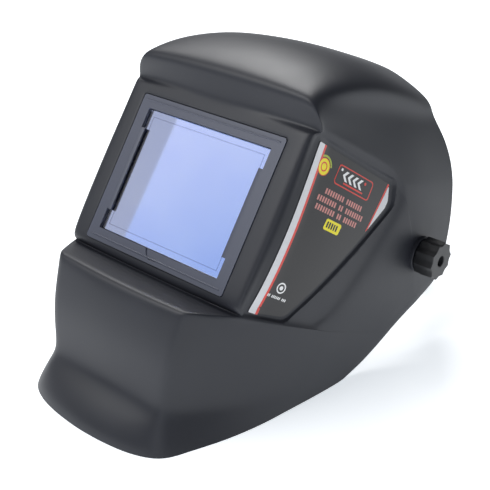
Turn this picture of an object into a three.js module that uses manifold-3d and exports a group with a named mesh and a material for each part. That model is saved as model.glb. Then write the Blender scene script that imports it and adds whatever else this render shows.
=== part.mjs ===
// A welding helmet: a moulded mask with a leaning window box, plates in a frame, and the headgear inside it.
// Millimetres. +X is the wearer's left, -Y the front, +Z up. The mask stands on the front of its lower rim.
import * as THREE from "three";
import { mergeVertices } from "three/addons/utils/BufferGeometryUtils.js";
import Module from "manifold-3d";

const wasm = await Module();
wasm.setup();

// ---- Driving sizes --------------------------------------------------------------------------------------

const WINDOW_TILT = THREE.MathUtils.degToRad(36.4); // how far the window leans back
const WINDOW_ABOVE_GROUND = 140; // height of the window's centre
const REST_CENTRE_Y = 75.2; // from the window's centre back to the middle of the helmet's length

const WALL = 2.6; // the shell's wall
const LABEL_STEP = 2.6; // how far the side panels are let into the hood

const PLATE_WIDTH = 110; // standard welding plate
const PLATE_HEIGHT = 90;
const COVER_THICKNESS = 1.5;
const FILTER_THICKNESS = 3;
const PLATE_CLEARANCE = 0.4; // round a plate, in its pocket
const PLATE_GAP = 0.3; // between one plate and the next

const FRAME_WIDTH = PLATE_WIDTH + 18; // flange of the lens frame
const FRAME_HEIGHT = PLATE_HEIGHT + 19;
const BOX_X = FRAME_WIDTH / 2 + 16; // half-width of the window box over its corners
const FLANGE_THICKNESS = 1.5;
const FRAME_WALL = 3.4; // round the plates, behind the flange
const FRAME_GAP = 0.45; // between frame and shell
const TAB_REACH = 3.4; // of the side tabs over the cover plate
const TAB_HEIGHT = 62;
const THUMB_NOTCH = 9; // radius of the notch at the foot of the opening

const PIVOT_Y = 140; // the tilt axis, from the window's centre
const PIVOT_Z = -70;
const PIVOT_BOSS = 13.5; // radius of the flat under each knob
const PIVOT_SPOT = 16; // radius of the flat inside for the friction washer
const BOSS_OUTER_X = BOX_X + 27.6; // the boss's faces, from the middle
const BOSS_INNER_X = BOSS_OUTER_X - 5.6;

// ---- Small helpers --------------------------------------------------------------------------------------

// A closed geometry as a solid that can be cut and joined.
function solid(geometry) {
  const bare = geometry.clone();
  bare.deleteAttribute("normal");
  bare.deleteAttribute("uv");
  const merged = mergeVertices(bare, 1e-4);
  return new wasm.Manifold(new wasm.Mesh({
    numProp: 3,
    vertProperties: merged.attributes.position.array,
    triVerts: new Uint32Array(merged.index.array),
  }));
}

// A solid back as a geometry.
function geometryOf(body) {
  const mesh = body.getMesh();
  const geometry = new THREE.BufferGeometry();
  geometry.setAttribute("position", new THREE.BufferAttribute(new Float32Array(mesh.vertProperties), 3));
  geometry.setIndex(new THREE.BufferAttribute(new Uint32Array(mesh.triVerts), 1));
  return geometry;
}

function union(...bodies) {
  return bodies.reduce((sum, body) => sum.add(body));
}

function less(body, ...cutters) {
  return cutters.reduce((rest, cutter) => rest.subtract(cutter), body);
}

// From the window's own directions, back from it and up along it, to back and up in the helmet.
function fromWindow(back, up) {
  return [
    up * Math.sin(WINDOW_TILT) + back * Math.cos(WINDOW_TILT),
    up * Math.cos(WINDOW_TILT) - back * Math.sin(WINDOW_TILT),
  ];
}

function mix(a, b, t) {
  return a + (b - a) * t;
}

function mixPoint(p, q, t) {
  return p.map((value, i) => mix(value, q[i], t));
}

// A smooth curve through [at, value] pairs, level beyond its ends.
function curve(knots, at) {
  const last = knots.length - 1;
  if (at <= knots[0][0]) return knots[0][1];
  if (at >= knots[last][0]) return knots[last][1];
  const i = knots.findIndex((knot) => knot[0] > at) - 1;
  const [a, b] = [knots[i], knots[i + 1]];
  const t = (at - a[0]) / (b[0] - a[0]);
  const slope = (j) => {
    const [from, to] = [knots[Math.max(j - 1, 0)], knots[Math.min(j + 1, last)]];
    return (to[1] - from[1]) / (to[0] - from[0]);
  };
  const run = b[0] - a[0];
  return (2 * t ** 3 - 3 * t ** 2 + 1) * a[1] + (t ** 3 - 2 * t ** 2 + t) * run * slope(i)
    + (3 * t ** 2 - 2 * t ** 3) * b[1] + (t ** 3 - t ** 2) * run * slope(i + 1);
}

// ---- Shell ----------------------------------------------------------------------------------------------
// The shell is a smooth surface over a net of control points. Each row starts on the centre line, crosses the
// face, turns the corner and runs back along the side to the rear edge. Its columns are:
// 0 to 2 on the face, 3 the corner, 4 just behind it, 5 the label's front edge, 6 and 7 along the label,
// 8 and 9 the inner and outer sides of the step at its rear, 10 near the pivot and 11 the rear edge.

// How far the hood's side stands out past the window box at its widest level, against the distance back.
const HOOD_PLAN = [
  [-80, -28], [-60, -16.5], [-45, -7], [-24, 3.5], [-3, 10.5],
  [33, 18], [75, 23], [116, 26], [140, 27.5], [190, 26],
];
const WIDEST_Z = -82;

// How strongly the side leans in above its widest level: more towards the rear.
function hoodHalfWidth(y, z) {
  const high = THREE.MathUtils.clamp((z - 40) / 30, 0, 1);
  const lean = mix(mix(0.00112, 0.00094, high), 0.00235, THREE.MathUtils.clamp((y - 47) / 140, 0, 1));
  return BOX_X + curve(HOOD_PLAN, y) - lean * Math.max(0, z - WIDEST_Z) ** 2;
}

// Rows from the lower rim up the face and over the dome: the centre line [y, z] and the corner [x, y, z],
// how far the corner's neighbours stand from it, and where the row ends on the rear edge [y, z].
const over = (height) => height - WINDOW_ABOVE_GROUND;
const onWindow = (up) => fromWindow(0, up);
const [BOX_FOOT, BOX_HEAD] = [-FRAME_HEIGHT / 2 - 6, FRAME_HEIGHT / 2 + 9]; // the window face's ends
const fromFoot = (back, up) => onWindow(BOX_FOOT).map((at, i) => at + [back, up][i]);
const fromHead = (back, up) => onWindow(BOX_HEAD).map((at, i) => at + [back, up][i]);
const FACE_FOOT = onWindow(2.5 - FRAME_HEIGHT / 2);
const FACE_HEAD = onWindow(2.5 + FRAME_HEIGHT / 2);
const ROWS = {
  rim: { centre: [-104.8, over(0)], corner: [64.5, -90, over(0)], round: 17, end: [53, over(0)] },
  rimRoll: { centre: [-103.5, over(7)], corner: [62, -89, over(6.5)], round: 16, end: [58, over(1.3)] },
  flare: { centre: [-93, over(19)], corner: [57, -83.5, over(19)], round: 12, end: [66, over(3.5)] },
  flareTop: { centre: [-80.5, over(27.5)], corner: [54, -78, over(27.5)], round: 9, end: [75, over(6)] },
  chinLow: { centre: [-78, over(42)], corner: [55.5, -76.5, over(42)], round: 8, end: [83, over(9)] },
  chin: {
    centre: fromFoot(-40.1, -27.3), corner: [58, ...fromFoot(-37.1, -27.3)], round: 7, end: [92, over(12.5)],
  },
  chinTop: {
    centre: fromFoot(-31.6, -2.3), corner: [59.5, ...fromFoot(-27.6, -2.8)], round: 5, end: [99, over(15.5)],
  },
  shelfEdge: {
    centre: fromFoot(-27.6, 5.2), corner: [60.5, ...fromFoot(-24.6, 4.9)], round: 4, end: [103, over(17.3)],
  },
  shelfFront: {
    centre: fromFoot(-21.1, 3.7), corner: [64, ...fromFoot(-18.6, 3.2)], round: 4, end: [105, over(18)],
  },
  shelfBack: {
    centre: fromFoot(-2.1, -1.8),
    corner: [BOX_X - 2.5, ...fromFoot(2.4, -3.5)],
    round: 4,
    end: [107, over(19)],
  },
  valley: {
    centre: fromFoot(4.4, -4.3),
    corner: [BOX_X - 0.5, ...fromFoot(7.4, -5.5)],
    round: 5,
    end: [109, over(20)],
  },
  boxFoot: {
    centre: onWindow(BOX_FOOT), corner: [BOX_X, ...fromFoot(2.1, -0.5)], round: 9, end: [112, over(21)],
  },
  windowFoot: { centre: FACE_FOOT, corner: [BOX_X, ...FACE_FOOT], round: 12, end: [118, over(23.5)] },
  window: { centre: onWindow(0), corner: [BOX_X, ...onWindow(0)], round: 12, end: [126, over(26.5)] },
  windowHead: { centre: FACE_HEAD, corner: [BOX_X, ...FACE_HEAD], round: 12, end: [134, over(29)] },
  boxHead: {
    centre: onWindow(BOX_HEAD), corner: [BOX_X, ...onWindow(BOX_HEAD)], round: 9, end: [138, over(30)],
  },
  browFoot: {
    centre: fromHead(1.2, 3.9),
    corner: [BOX_X + 4.5, ...fromHead(8.3, -4.1)],
    round: 6,
    end: [141, over(31)],
  },
  browFace: {
    centre: fromHead(2.9, 15.9),
    corner: [BOX_X + 2.5, ...fromHead(4.8, 8.4)],
    round: 7,
    end: [144, over(32)],
  },
  brow: {
    centre: fromHead(3.8, 21.9),
    corner: [BOX_X - 5.5, ...fromHead(3.8, 18.4)],
    round: 8,
    end: [147, over(32.6)],
  },
  browBack: {
    centre: fromHead(12.3, 25.9),
    corner: [BOX_X - 4, ...fromHead(12.3, 19.9)],
    round: 12,
    end: [151, over(33.6)],
  },
  domeFront: {
    centre: fromHead(34.3, 30.9),
    corner: [BOX_X, ...fromHead(33.3, 19.9)],
    round: 18,
    end: [156, over(34.8)],
  },
  dome: {
    centre: fromHead(66.3, 29.9),
    corner: [BOX_X + 3, ...fromHead(65.3, 14.4)],
    round: 24,
    end: [161, over(36.2)],
  },
  domeRear: {
    centre: fromHead(102.3, 17.9),
    corner: [BOX_X + 4, ...fromHead(100.3, 1.4)],
    round: 28,
    end: [167, over(39)],
  },
  archIn: {
    centre: fromHead(134.3, 4.4),
    corner: [BOX_X + 2, ...fromHead(134.3, -14.6)],
    round: 30,
    end: [172, over(45)],
  },
  arch: {
    centre: fromHead(140.3, 1.9),
    corner: [BOX_X + 1, ...fromHead(140.8, -18.1)],
    round: 30,
    end: [174, over(50)],
  },
};
const ROW = Object.fromEntries(Object.keys(ROWS).map((name, i) => [name, i]));
const ROW_LIST = Object.values(ROWS);

// The side panel in the window's directions: its four corners, and how much each is cut back to round it.
const PANEL = {
  frontFoot: [10, BOX_FOOT + 3],
  frontHead: [10, BOX_HEAD + 1],
  rearHead: [117, BOX_HEAD + 4.5],
  rearFoot: [76, BOX_FOOT + 12.5],
};
const PANEL_ALONG = { 5: 0, 6: 0.4, 7: 0.76, 8: 1 };
const PANEL_UP = { valley: 0, boxFoot: 0.07, windowFoot: 0.2, window: 0.5, windowHead: 0.9, boxHead: 1 };
const PANEL_ROUND = 0.1; // share of the panel that its rear corners are cut back
const STEP_RUN = 3.6; // width of the step round the panel

// The rear edge of the shell at the last row, from the top corner down: [y, z] at columns 4 to 11.
const ARCH_EDGE = [
  [181, 22], [186, 10], [190, -2], [191.5, -16], [190.5, -28], [189, -36], [183.5, -62], ROWS.arch.end,
];
const SIDE_SHARE = [0.12, 0.25, 0.38, 0.5, 0.6, 0.65, 0.82, 1]; // columns 4 to 11 along a row under the panel

function panelPoint(along, up) {
  const foot = mixPoint(PANEL.frontFoot, PANEL.rearFoot, along);
  const head = mixPoint(PANEL.frontHead, PANEL.rearHead, along);
  return mixPoint(foot, head, up);
}

// A point of the panel's inner outline or field, with the rear corners rounded.
function panelNode(column, row) {
  let along = PANEL_ALONG[column];
  let up = PANEL_UP[row];
  const rear = column === 8;
  if (rear && (up === 0 || up === 1)) along -= PANEL_ROUND;
  if (rear && up === 1) up -= PANEL_ROUND * 0.6;
  return panelPoint(along, up);
}

// The [y, z] of a side node: its row and its column, 4 to 11.
function sidePoint(row, column) {
  const index = ROW[row];
  const { corner, end, round } = ROWS[row];
  const share = SIDE_SHARE[column - 4];
  const cornerSide = corner.slice(1);
  if (index <= ROW.shelfFront) {
    const straight = mixPoint(cornerSide, end, share);
    return index === ROW.shelfFront && column > 4 && column < 10
      ? mixPoint(straight, sidePoint("shelfBack", column), 0.55) : straight;
  }
  if (index <= ROW.browFoot) {
    if (column === 11) return end;
    const step = { shelfBack: -STEP_RUN, browFoot: STEP_RUN }[row] ?? 0;
    const inside = { shelfBack: "valley", browFoot: "boxHead" }[row] ?? row;
    const at = (c) => {
      const [back, up] = panelNode(Math.min(c, 8), inside);
      return fromWindow(back + (c === 9 ? STEP_RUN * 1.2 : 0), up + step);
    };
    if (column === 4) {
      const besideWindow = index > ROW.valley && index < ROW.browFoot;
      return mixPoint(cornerSide, at(5), besideWindow ? 0.62 : 0.5);
    }
    if (column === 10) return mixPoint(at(9), end, 0.5);
    return at(column);
  }
  const first = ROW.browFoot;
  const share2 = (index - first) / (ROW.arch - first);
  const rise = [0, 0.07, 0.15, 0.26, 0.45, 0.66, 0.85, 0.96, 1][index - first];
  if (column === 11) return end;
  if (column === 4 && index < ROW.arch) {
    return mixPoint(cornerSide, sidePoint(row, 5), THREE.MathUtils.clamp(round / 60 + 0.2 * share2, 0, 0.6));
  }
  return mixPoint(sidePoint("browFoot", column), ARCH_EDGE[column - 4], rise);
}

// The flare of the lower rim stands out from the hood's side, less and less towards the rear.
function flareOut(row, y) {
  const strength = { rim: 1, rimRoll: 0.8, flare: 0.35 }[row] ?? 0;
  return strength * curve([[-90, 15], [-64, 14], [-35, 7], [-3, 1.5], [33, 0]], y);
}

function isPanel(row, column) {
  return row in PANEL_UP && column >= 4 && column <= 8;
}

// One control point of the net.
function netPoint(row, column) {
  const { centre, corner, round } = ROWS[row];
  if (column <= 3) {
    const x = [0, corner[0] * 0.45, corner[0] - round, corner[0]][column];
    const bend = (x / corner[0]) ** 2;
    const [y, z] = mixPoint(centre, corner.slice(1), column === 3 ? 1 : bend * 0.8);
    return new THREE.Vector3(x, y, z);
  }
  const [y, z] = sidePoint(row, column);
  if (row === "arch" || (ROW[row] > ROW.brow && column === 4)) {
    const drop = Math.max(0, corner[2] - z);
    const bulge = Math.min(hoodHalfWidth(y, z), corner[0] + drop * 0.55);
    return new THREE.Vector3(bulge, y, z);
  }
  const inset = isPanel(row, column) ? LABEL_STEP : 0;
  return new THREE.Vector3(hoodHalfWidth(y, z) + flareOut(row, y) - inset, y, z);
}

const SIDE_COLUMNS = 11;
const NET = Object.keys(ROWS).map((row) => {
  const half = Array.from({ length: SIDE_COLUMNS + 1 }, (_, column) => netPoint(row, column));
  const mirrored = half.slice(1).reverse().map((p) => new THREE.Vector3(-p.x, p.y, p.z));
  return [...mirrored, ...half];
});

// Weights of four neighbouring control points, and of their slope, for a uniform cubic B-spline.
function splineWeights(t) {
  const before = (3 * t ** 3 - 6 * t ** 2 + 4) / 6;
  const after = (-3 * t ** 3 + 3 * t ** 2 + 3 * t + 1) / 6;
  return [(1 - t) ** 3 / 6, before, after, t ** 3 / 6];
}

function splineSlopes(t) {
  return [-((1 - t) ** 2) / 2, (3 * t ** 2 - 4 * t) / 2, (-3 * t ** 2 + 2 * t + 1) / 2, t ** 2 / 2];
}

// The net's control point, carried straight on past its edges.
function control(i, j) {
  const [rows, columns] = [NET.length - 1, NET[0].length - 1];
  if (i < 0) return control(0, j).clone().multiplyScalar(2).sub(control(1, j));
  if (i > rows) return control(rows, j).clone().multiplyScalar(2).sub(control(rows - 1, j));
  if (j < 0) return NET[i][0].clone().multiplyScalar(2).sub(NET[i][1]);
  if (j > columns) return NET[i][columns].clone().multiplyScalar(2).sub(NET[i][columns - 1]);
  return NET[i][j];
}

// The shell's outer surface at a row and column, whole or between two, moved in along its normal.
function shellPoint(row, column, inward = 0) {
  const i = Math.min(Math.floor(row), NET.length - 2);
  const j = Math.min(Math.floor(column), NET[0].length - 2);
  const sum = (rowWeights, columnWeights) => {
    const point = new THREE.Vector3();
    rowWeights.forEach((a, m) => columnWeights.forEach((b, n) => {
      point.addScaledVector(control(i + m - 1, j + n - 1), a * b);
    }));
    return point;
  };
  const [s, t] = [row - i, column - j];
  const point = sum(splineWeights(s), splineWeights(t));
  const up = sum(splineSlopes(s), splineWeights(t));
  const along = sum(splineWeights(s), splineSlopes(t));
  const normal = new THREE.Vector3().crossVectors(along, up).normalize();
  return point.addScaledVector(normal, -inward);
}

// A closed sheet between two depths of the shell's surface, over the given rows and columns.
function sheet(rows, columns, outer, inner) {
  const across = columns.length;
  const layer = rows.length * across;
  const position = [];
  for (const depth of [outer, inner]) {
    for (const row of rows) {
      for (const column of columns) position.push(...shellPoint(row, column, depth).toArray());
    }
  }
  const index = [];
  const quad = (a, b, c, d) => index.push(a, b, c, a, c, d);
  for (let i = 0; i < rows.length - 1; i++) {
    for (let j = 0; j < across - 1; j++) {
      const a = i * across + j;
      quad(a, a + 1, a + across + 1, a + across);
      quad(layer + a, layer + a + across, layer + a + across + 1, layer + a + 1);
    }
  }
  for (let j = 0; j < across - 1; j++) {
    const top = (rows.length - 1) * across + j;
    quad(j, layer + j, layer + j + 1, j + 1);
    quad(top, top + 1, layer + top + 1, layer + top);
  }
  for (let i = 0; i < rows.length - 1; i++) {
    const [left, right] = [i * across, i * across + across - 1];
    quad(left, left + across, layer + left + across, layer + left);
    quad(right, layer + right, layer + right + across, right + across);
  }
  const geometry = new THREE.BufferGeometry();
  geometry.setAttribute("position", new THREE.BufferAttribute(new Float32Array(position), 3));
  geometry.setIndex(index);
  return geometry;
}

// Whole steps from one number to another, with extra stops where the surface turns.
function steps(from, to, extra = []) {
  const whole = Array.from({ length: to - from + 1 }, (_, i) => from + i);
  return [...new Set([...whole, ...extra])].sort((a, b) => a - b);
}

const MIDDLE = SIDE_COLUMNS; // the net's column on the centre line
const bothSides = (columns) => columns.flatMap((c) => [MIDDLE - c, MIDDLE + c]);
const LABEL_ROWS = [ROW.valley + 0.5, ...steps(ROW.boxFoot, ROW.windowHead), ROW.windowHead + 0.5];
const LABEL_COLUMNS = [5, 6, 7, 7.5];
const SHELL_ROWS = steps(0, NET.length - 1, [0.5, 1.5, 2.5, 18.5, 19.5, 20.5, 21.5, 22.5, ...LABEL_ROWS]);
const SHELL_COLUMNS = steps(0, 2 * SIDE_COLUMNS, bothSides([2.5, 3.5, 9.5, 10.5, ...LABEL_COLUMNS]));

// ---- Materials ------------------------------------------------------------------------------------------

function finish(color, roughness, metalness = 0, extra = {}) {
  return new THREE.MeshStandardMaterial({ color, roughness, metalness, ...extra });
}

const shellPlastic = finish(0x3a3c42, 0.55);
const framePlastic = finish(0x474a55, 0.5);
const knobPlastic = finish(0x17181b, 0.45);
const bandPlastic = finish(0x202226, 0.5);
const foam = finish(0x2a2b2e, 0.95);
const steel = finish(0xb9bcc0, 0.3, 1);
const brass = finish(0xb8963f, 0.35, 1);
const rubber = finish(0x151515, 0.8);
const sticker = finish(0x1c1b1d, 0.35);
const clearGlass = finish(0xdfe8ff, 0.05, 0, { transparent: true, opacity: 0.35 });
const darkGlass = finish(0x3f5577, 0.05, 0.2);

// ---- The helmet and its turned groups -------------------------------------------------------------------

const helmet = new THREE.Group();
helmet.position.set(0, -REST_CENTRE_Y, WINDOW_ABOVE_GROUND);

// The window's own frame: X across, Y up along the window, Z out through it.
const windowGroup = new THREE.Group();
windowGroup.rotation.x = Math.PI / 2 - WINDOW_TILT;
helmet.add(windowGroup);

// The headgear's frame: its origin is on the tilt axis.
const headgear = new THREE.Group();
headgear.position.set(0, PIVOT_Y, PIVOT_Z);
helmet.add(headgear);

function piece(name, geometry, material, parent) {
  const mesh = new THREE.Mesh(geometry, material);
  mesh.name = name;
  parent.add(mesh);
  return mesh;
}

// ---- Shapes ---------------------------------------------------------------------------------------------

function roundedRectangle(width, height, radius, Kind = THREE.Shape) {
  const [w, h] = [width / 2, height / 2];
  const shape = new Kind();
  shape.moveTo(-w + radius, -h);
  shape.lineTo(w - radius, -h);
  shape.absarc(w - radius, -h + radius, radius, -Math.PI / 2, 0);
  shape.lineTo(w, h - radius);
  shape.absarc(w - radius, h - radius, radius, 0, Math.PI / 2);
  shape.lineTo(-w + radius, h);
  shape.absarc(-w + radius, h - radius, radius, Math.PI / 2, Math.PI);
  shape.lineTo(-w, -h + radius);
  shape.absarc(-w + radius, -h + radius, radius, Math.PI, 1.5 * Math.PI);
  return shape;
}

// A shape pushed along Z from one height to another.
function slab(shape, from, to, curveSegments = 4) {
  return new THREE.ExtrudeGeometry(shape, { depth: to - from, bevelEnabled: false, curveSegments })
    .translate(0, 0, from);
}

// A shape drawn across and up, pushed along Y from one place to another.
function upright(shape, from, to, curveSegments = 6) {
  return slab(shape, -to, -from, curveSegments).rotateX(Math.PI / 2);
}

function plate(width, height, radius, from, to) {
  return slab(roundedRectangle(width, height, radius), from, to, 3);
}

function block(low, high) {
  const size = high.map((value, i) => value - low[i]);
  return new THREE.BoxGeometry(...size).translate(...low.map((value, i) => value + size[i] / 2));
}

// A round bar along X, Y or Z between two places on that axis, centred on the other two.
function bar(axis, radius, from, to, [u, v] = [0, 0], sides = 24) {
  const geometry = new THREE.CylinderGeometry(radius, radius, to - from, sides);
  const middle = (from + to) / 2;
  if (axis === "x") return geometry.rotateZ(-Math.PI / 2).translate(middle, u, v);
  if (axis === "y") return geometry.translate(u, middle, v);
  return geometry.rotateX(Math.PI / 2).translate(u, v, middle);
}

// A closed outline round a line of [x, y] points, as thick as a strap.
function strap(points, thickness) {
  const normals = points.map((_, i) => {
    const [a, b] = [points[Math.max(i - 1, 0)], points[Math.min(i + 1, points.length - 1)]];
    const run = Math.hypot(b[0] - a[0], b[1] - a[1]);
    return [-(b[1] - a[1]) / run, (b[0] - a[0]) / run];
  });
  const side = (sign) => points.map((p, i) => {
    return new THREE.Vector2(...p).addScaledVector(new THREE.Vector2(...normals[i]), sign * thickness / 2);
  });
  return new THREE.Shape([...side(1), ...side(-1).reverse()]);
}

const range = (count, make) => Array.from({ length: count }, (_, i) => make(i));

// Points of an ellipse about the origin from one angle to another, in degrees from +X.
function ellipsePoints(a, b, from, to, count) {
  return range(count, (i) => {
    const angle = THREE.MathUtils.degToRad(mix(from, to, i / (count - 1)));
    return [a * Math.cos(angle), b * Math.sin(angle)];
  });
}

// ---- Shell with its openings ----------------------------------------------------------------------------

const POCKET = [PLATE_WIDTH + 2 * PLATE_CLEARANCE, PLATE_HEIGHT + 2 * PLATE_CLEARANCE];
const BODY = POCKET.map((size) => size + 2 * FRAME_WALL);
const SEAT_DEPTH = FLANGE_THICKNESS + 0.3;
const STUD_RADIUS = 3;
const STUD_CLEARANCE = 0.35;

function inWindow(geometry) {
  return solid(geometry.applyMatrix4(new THREE.Matrix4().makeRotationX(windowGroup.rotation.x)));
}

const SEAT = [FRAME_WIDTH + 2 * FRAME_GAP, FRAME_HEIGHT + 2 * FRAME_GAP];
const flangeSeat = inWindow(plate(...SEAT, 2.5, -SEAT_DEPTH, 12));
const bodyHole = inWindow(plate(BODY[0] + 2 * FRAME_GAP, BODY[1] + 2 * FRAME_GAP, 2, -12, 2));

// The stop lug stands inside the shell where the stop's arm meets it with the mask right down.
const TILT_DOWN = 36; // degrees from rest until the mask is right down
const TILT_UP = 50; // and until it is thrown right up
const STOP_ARM_ANGLE = 100; // of the stop's arm at rest, up from the rear
const STOP_REACH = 29;
const STOP_HALF_WIDTH = 4;
const LUG_RADIUS = 3;
const STOP_SPREAD = THREE.MathUtils.radToDeg((STOP_HALF_WIDTH + LUG_RADIUS) / (STOP_REACH - 3)) + 1.5;
const LUG_ANGLE = THREE.MathUtils.degToRad(STOP_ARM_ANGLE - TILT_DOWN - STOP_SPREAD);
const LUG_AT = [
  PIVOT_Y + (STOP_REACH - 3) * Math.cos(LUG_ANGLE),
  PIVOT_Z + (STOP_REACH - 3) * Math.sin(LUG_ANGLE),
];
const LUG_INNER_X = BOSS_INNER_X - 3;
const LUG_ROOT_X = BOSS_INNER_X + 1.4; // inside the shell's wall
const CUT_OVER = 12; // how far a cutter runs past what it cuts

const pivot = [PIVOT_Y, PIVOT_Z];
let shell = solid(sheet(SHELL_ROWS, SHELL_COLUMNS, 0, WALL));
for (const side of [-1, 1]) {
  const across = (radius, near, far, at, sides) => {
    const [low, high] = [side * near, side * far].sort((a, b) => a - b);
    return solid(bar("x", radius, low, high, at, sides));
  };
  shell = union(shell, across(PIVOT_BOSS, BOSS_INNER_X, BOSS_OUTER_X, pivot, 40));
  shell = union(shell, across(LUG_RADIUS, LUG_INNER_X, LUG_ROOT_X, LUG_AT, 16));
  shell = less(shell, across(PIVOT_SPOT, BOSS_INNER_X - CUT_OVER, BOSS_INNER_X, pivot, 40));
  const hole = [BOSS_INNER_X - CUT_OVER, BOSS_OUTER_X + CUT_OVER];
  shell = less(shell, across(STUD_RADIUS + STUD_CLEARANCE, ...hole, pivot, 24));
}
const ground = solid(block([-200, -200, -WINDOW_ABOVE_GROUND - 20], [200, 200, -WINDOW_ABOVE_GROUND]));
shell = less(shell, flangeSeat, bodyHole, ground);
piece("shell", geometryOf(shell), shellPlastic, helmet);

// ---- Window: frame, plates and retaining wire -----------------------------------------------------------

const COVER_FRONT = -(FLANGE_THICKNESS + PLATE_GAP);
const COVER_BACK = COVER_FRONT - COVER_THICKNESS;
const FILTER_FRONT = COVER_BACK - PLATE_GAP;
const FILTER_BACK = FILTER_FRONT - FILTER_THICKNESS;
const INNER_FRONT = FILTER_BACK - PLATE_GAP;
const INNER_BACK = INNER_FRONT - COVER_THICKNESS;
const WIRE_RADIUS = 1;
const WIRE_Z = INNER_BACK - PLATE_GAP - WIRE_RADIUS;
const FRAME_BACK = WIRE_Z - WIRE_RADIUS - 2;
const WIRE_PIVOT_UP = PLATE_HEIGHT / 2 - 5;
const WIRE_FOOT = 7 - PLATE_HEIGHT / 2;
const WIRE_HALF_WIDTH = PLATE_WIDTH / 2 - 5;

function lensFrame() {
  const body = union(
    solid(plate(FRAME_WIDTH, FRAME_HEIGHT, 2, -FLANGE_THICKNESS, 0)),
    solid(plate(...BODY, 1.5, FRAME_BACK, -FLANGE_THICKNESS / 2)),
  );
  const pocket = solid(plate(...POCKET, 0.6, FRAME_BACK - 2, 2));
  const tabs = [-1, 1].map((side) => {
    const inner = side * (POCKET[0] / 2 - TAB_REACH);
    const outer = side * (POCKET[0] / 2 + 1);
    return solid(block(
      [Math.min(inner, outer), -TAB_HEIGHT / 2, -FLANGE_THICKNESS],
      [Math.max(inner, outer), TAB_HEIGHT / 2, -0.05],
    ));
  });
  const notch = solid(bar("z", THUMB_NOTCH, -0.9, 2, [0, 2 - POCKET[1] / 2], 32));
  const wireHoles = solid(bar("x", WIRE_RADIUS + 0.3, -BODY[0], BODY[0], [WIRE_PIVOT_UP, WIRE_Z], 16));
  return less(union(less(body, pocket), ...tabs), notch, wireHoles);
}

piece("lens_frame", geometryOf(lensFrame()), framePlastic, windowGroup);
piece("cover_plate", plate(PLATE_WIDTH, PLATE_HEIGHT, 0.8, COVER_BACK, COVER_FRONT), clearGlass, windowGroup);
const filter = plate(PLATE_WIDTH, PLATE_HEIGHT, 0.8, FILTER_BACK, FILTER_FRONT);
piece("filter_plate", filter, darkGlass, windowGroup);
const innerCover = plate(PLATE_WIDTH, PLATE_HEIGHT, 0.8, INNER_BACK, INNER_FRONT);
piece("inner_cover_plate", innerCover, clearGlass, windowGroup);

// The wire runs from one pivot hole down, across the foot of the plates and back up to the other.
function retainerWire() {
  const bend = 5;
  const end = POCKET[0] / 2 + FRAME_WALL - 0.4;
  const route = new THREE.CurvePath();
  const corners = [
    [-end, WIRE_PIVOT_UP], [-WIRE_HALF_WIDTH, WIRE_PIVOT_UP], [-WIRE_HALF_WIDTH, WIRE_FOOT],
    [WIRE_HALF_WIDTH, WIRE_FOOT], [WIRE_HALF_WIDTH, WIRE_PIVOT_UP], [end, WIRE_PIVOT_UP],
  ].map(([x, y]) => new THREE.Vector3(x, y, 0));
  let from = corners[0];
  corners.slice(1).forEach((corner, i) => {
    const next = corners[i + 2];
    if (!next) {
      route.add(new THREE.LineCurve3(from, corner));
      return;
    }
    const reach = Math.min(bend, corner.distanceTo(from) * 0.45, corner.distanceTo(next) * 0.45);
    const into = corner.clone().lerp(from, reach / corner.distanceTo(from));
    const out = corner.clone().lerp(next, reach / corner.distanceTo(next));
    route.add(new THREE.LineCurve3(from, into));
    route.add(new THREE.QuadraticBezierCurve3(into, corner, out));
    from = out;
  });
  const section = new THREE.Shape().absarc(0, 0, WIRE_RADIUS, 0, 2 * Math.PI);
  const wire = new THREE.ExtrudeGeometry(section, { extrudePath: route, steps: 44, curveSegments: 6 });
  return wire.translate(0, 0, WIRE_Z);
}

piece("retainer_wire", retainerWire(), steel, windowGroup);

// ---- Labels ---------------------------------------------------------------------------------------------

// A thin sticker just over the side panel, between the window box and the step.
const LABEL_LIFT = 0.3;
const LABEL_THICKNESS = 0.3;

for (const [name, sign] of [["label_left", 1], ["label_right", -1]]) {
  const columns = LABEL_COLUMNS.map((c) => MIDDLE + sign * c).sort((a, b) => a - b);
  const geometry = sheet(LABEL_ROWS, columns, -LABEL_LIFT - LABEL_THICKNESS, -LABEL_LIFT);
  piece(name, geometry, sticker, helmet);
}

// ---- Side fastenings, from the knob in to the stud's head -----------------------------------------------

const KNOB_RADIUS = 14.5;
const KNOB_LOBES = 10;
const KNOB_FLUTE = 1.7;
const KNOB_INNER_X = BOSS_OUTER_X + 0.4;
const KNOB_OUTER_X = KNOB_INNER_X + 15.8;
const NUT_ACROSS = 6.3; // radius over its corners
const NUT_FROM = KNOB_INNER_X + 1;
const NUT_TO = NUT_FROM + 6.5;
const STUD_END_X = KNOB_OUTER_X - 3.3;
const WASHER_TO = BOSS_INNER_X - 0.3;
const WASHER_FROM = WASHER_TO - 1.8;
const STOP_TO = WASHER_FROM - 0.3;
const STOP_FROM = STOP_TO - 2.3;
const EAR_TO = STOP_FROM - 0.3;
const EAR_FROM = EAR_TO - 2.5;
const HEAD_TO = EAR_FROM - 0.3;
const HEAD_FROM = HEAD_TO - 3.2;
const bore = (from, to) => solid(bar("x", STUD_RADIUS + STUD_CLEARANCE, from, to));

function lobedOutline(radius, lobes, flute, points = 12) {
  return new THREE.Shape(range(lobes * points, (i) => {
    const angle = (2 * Math.PI * i) / (lobes * points);
    const r = radius - flute * Math.abs(Math.cos((lobes * angle) / 2));
    return new THREE.Vector2(r * Math.cos(angle), r * Math.sin(angle));
  }));
}

// Turns a geometry made along Z to lie along X.
const alongX = (geometry) => geometry.rotateY(Math.PI / 2);

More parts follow.
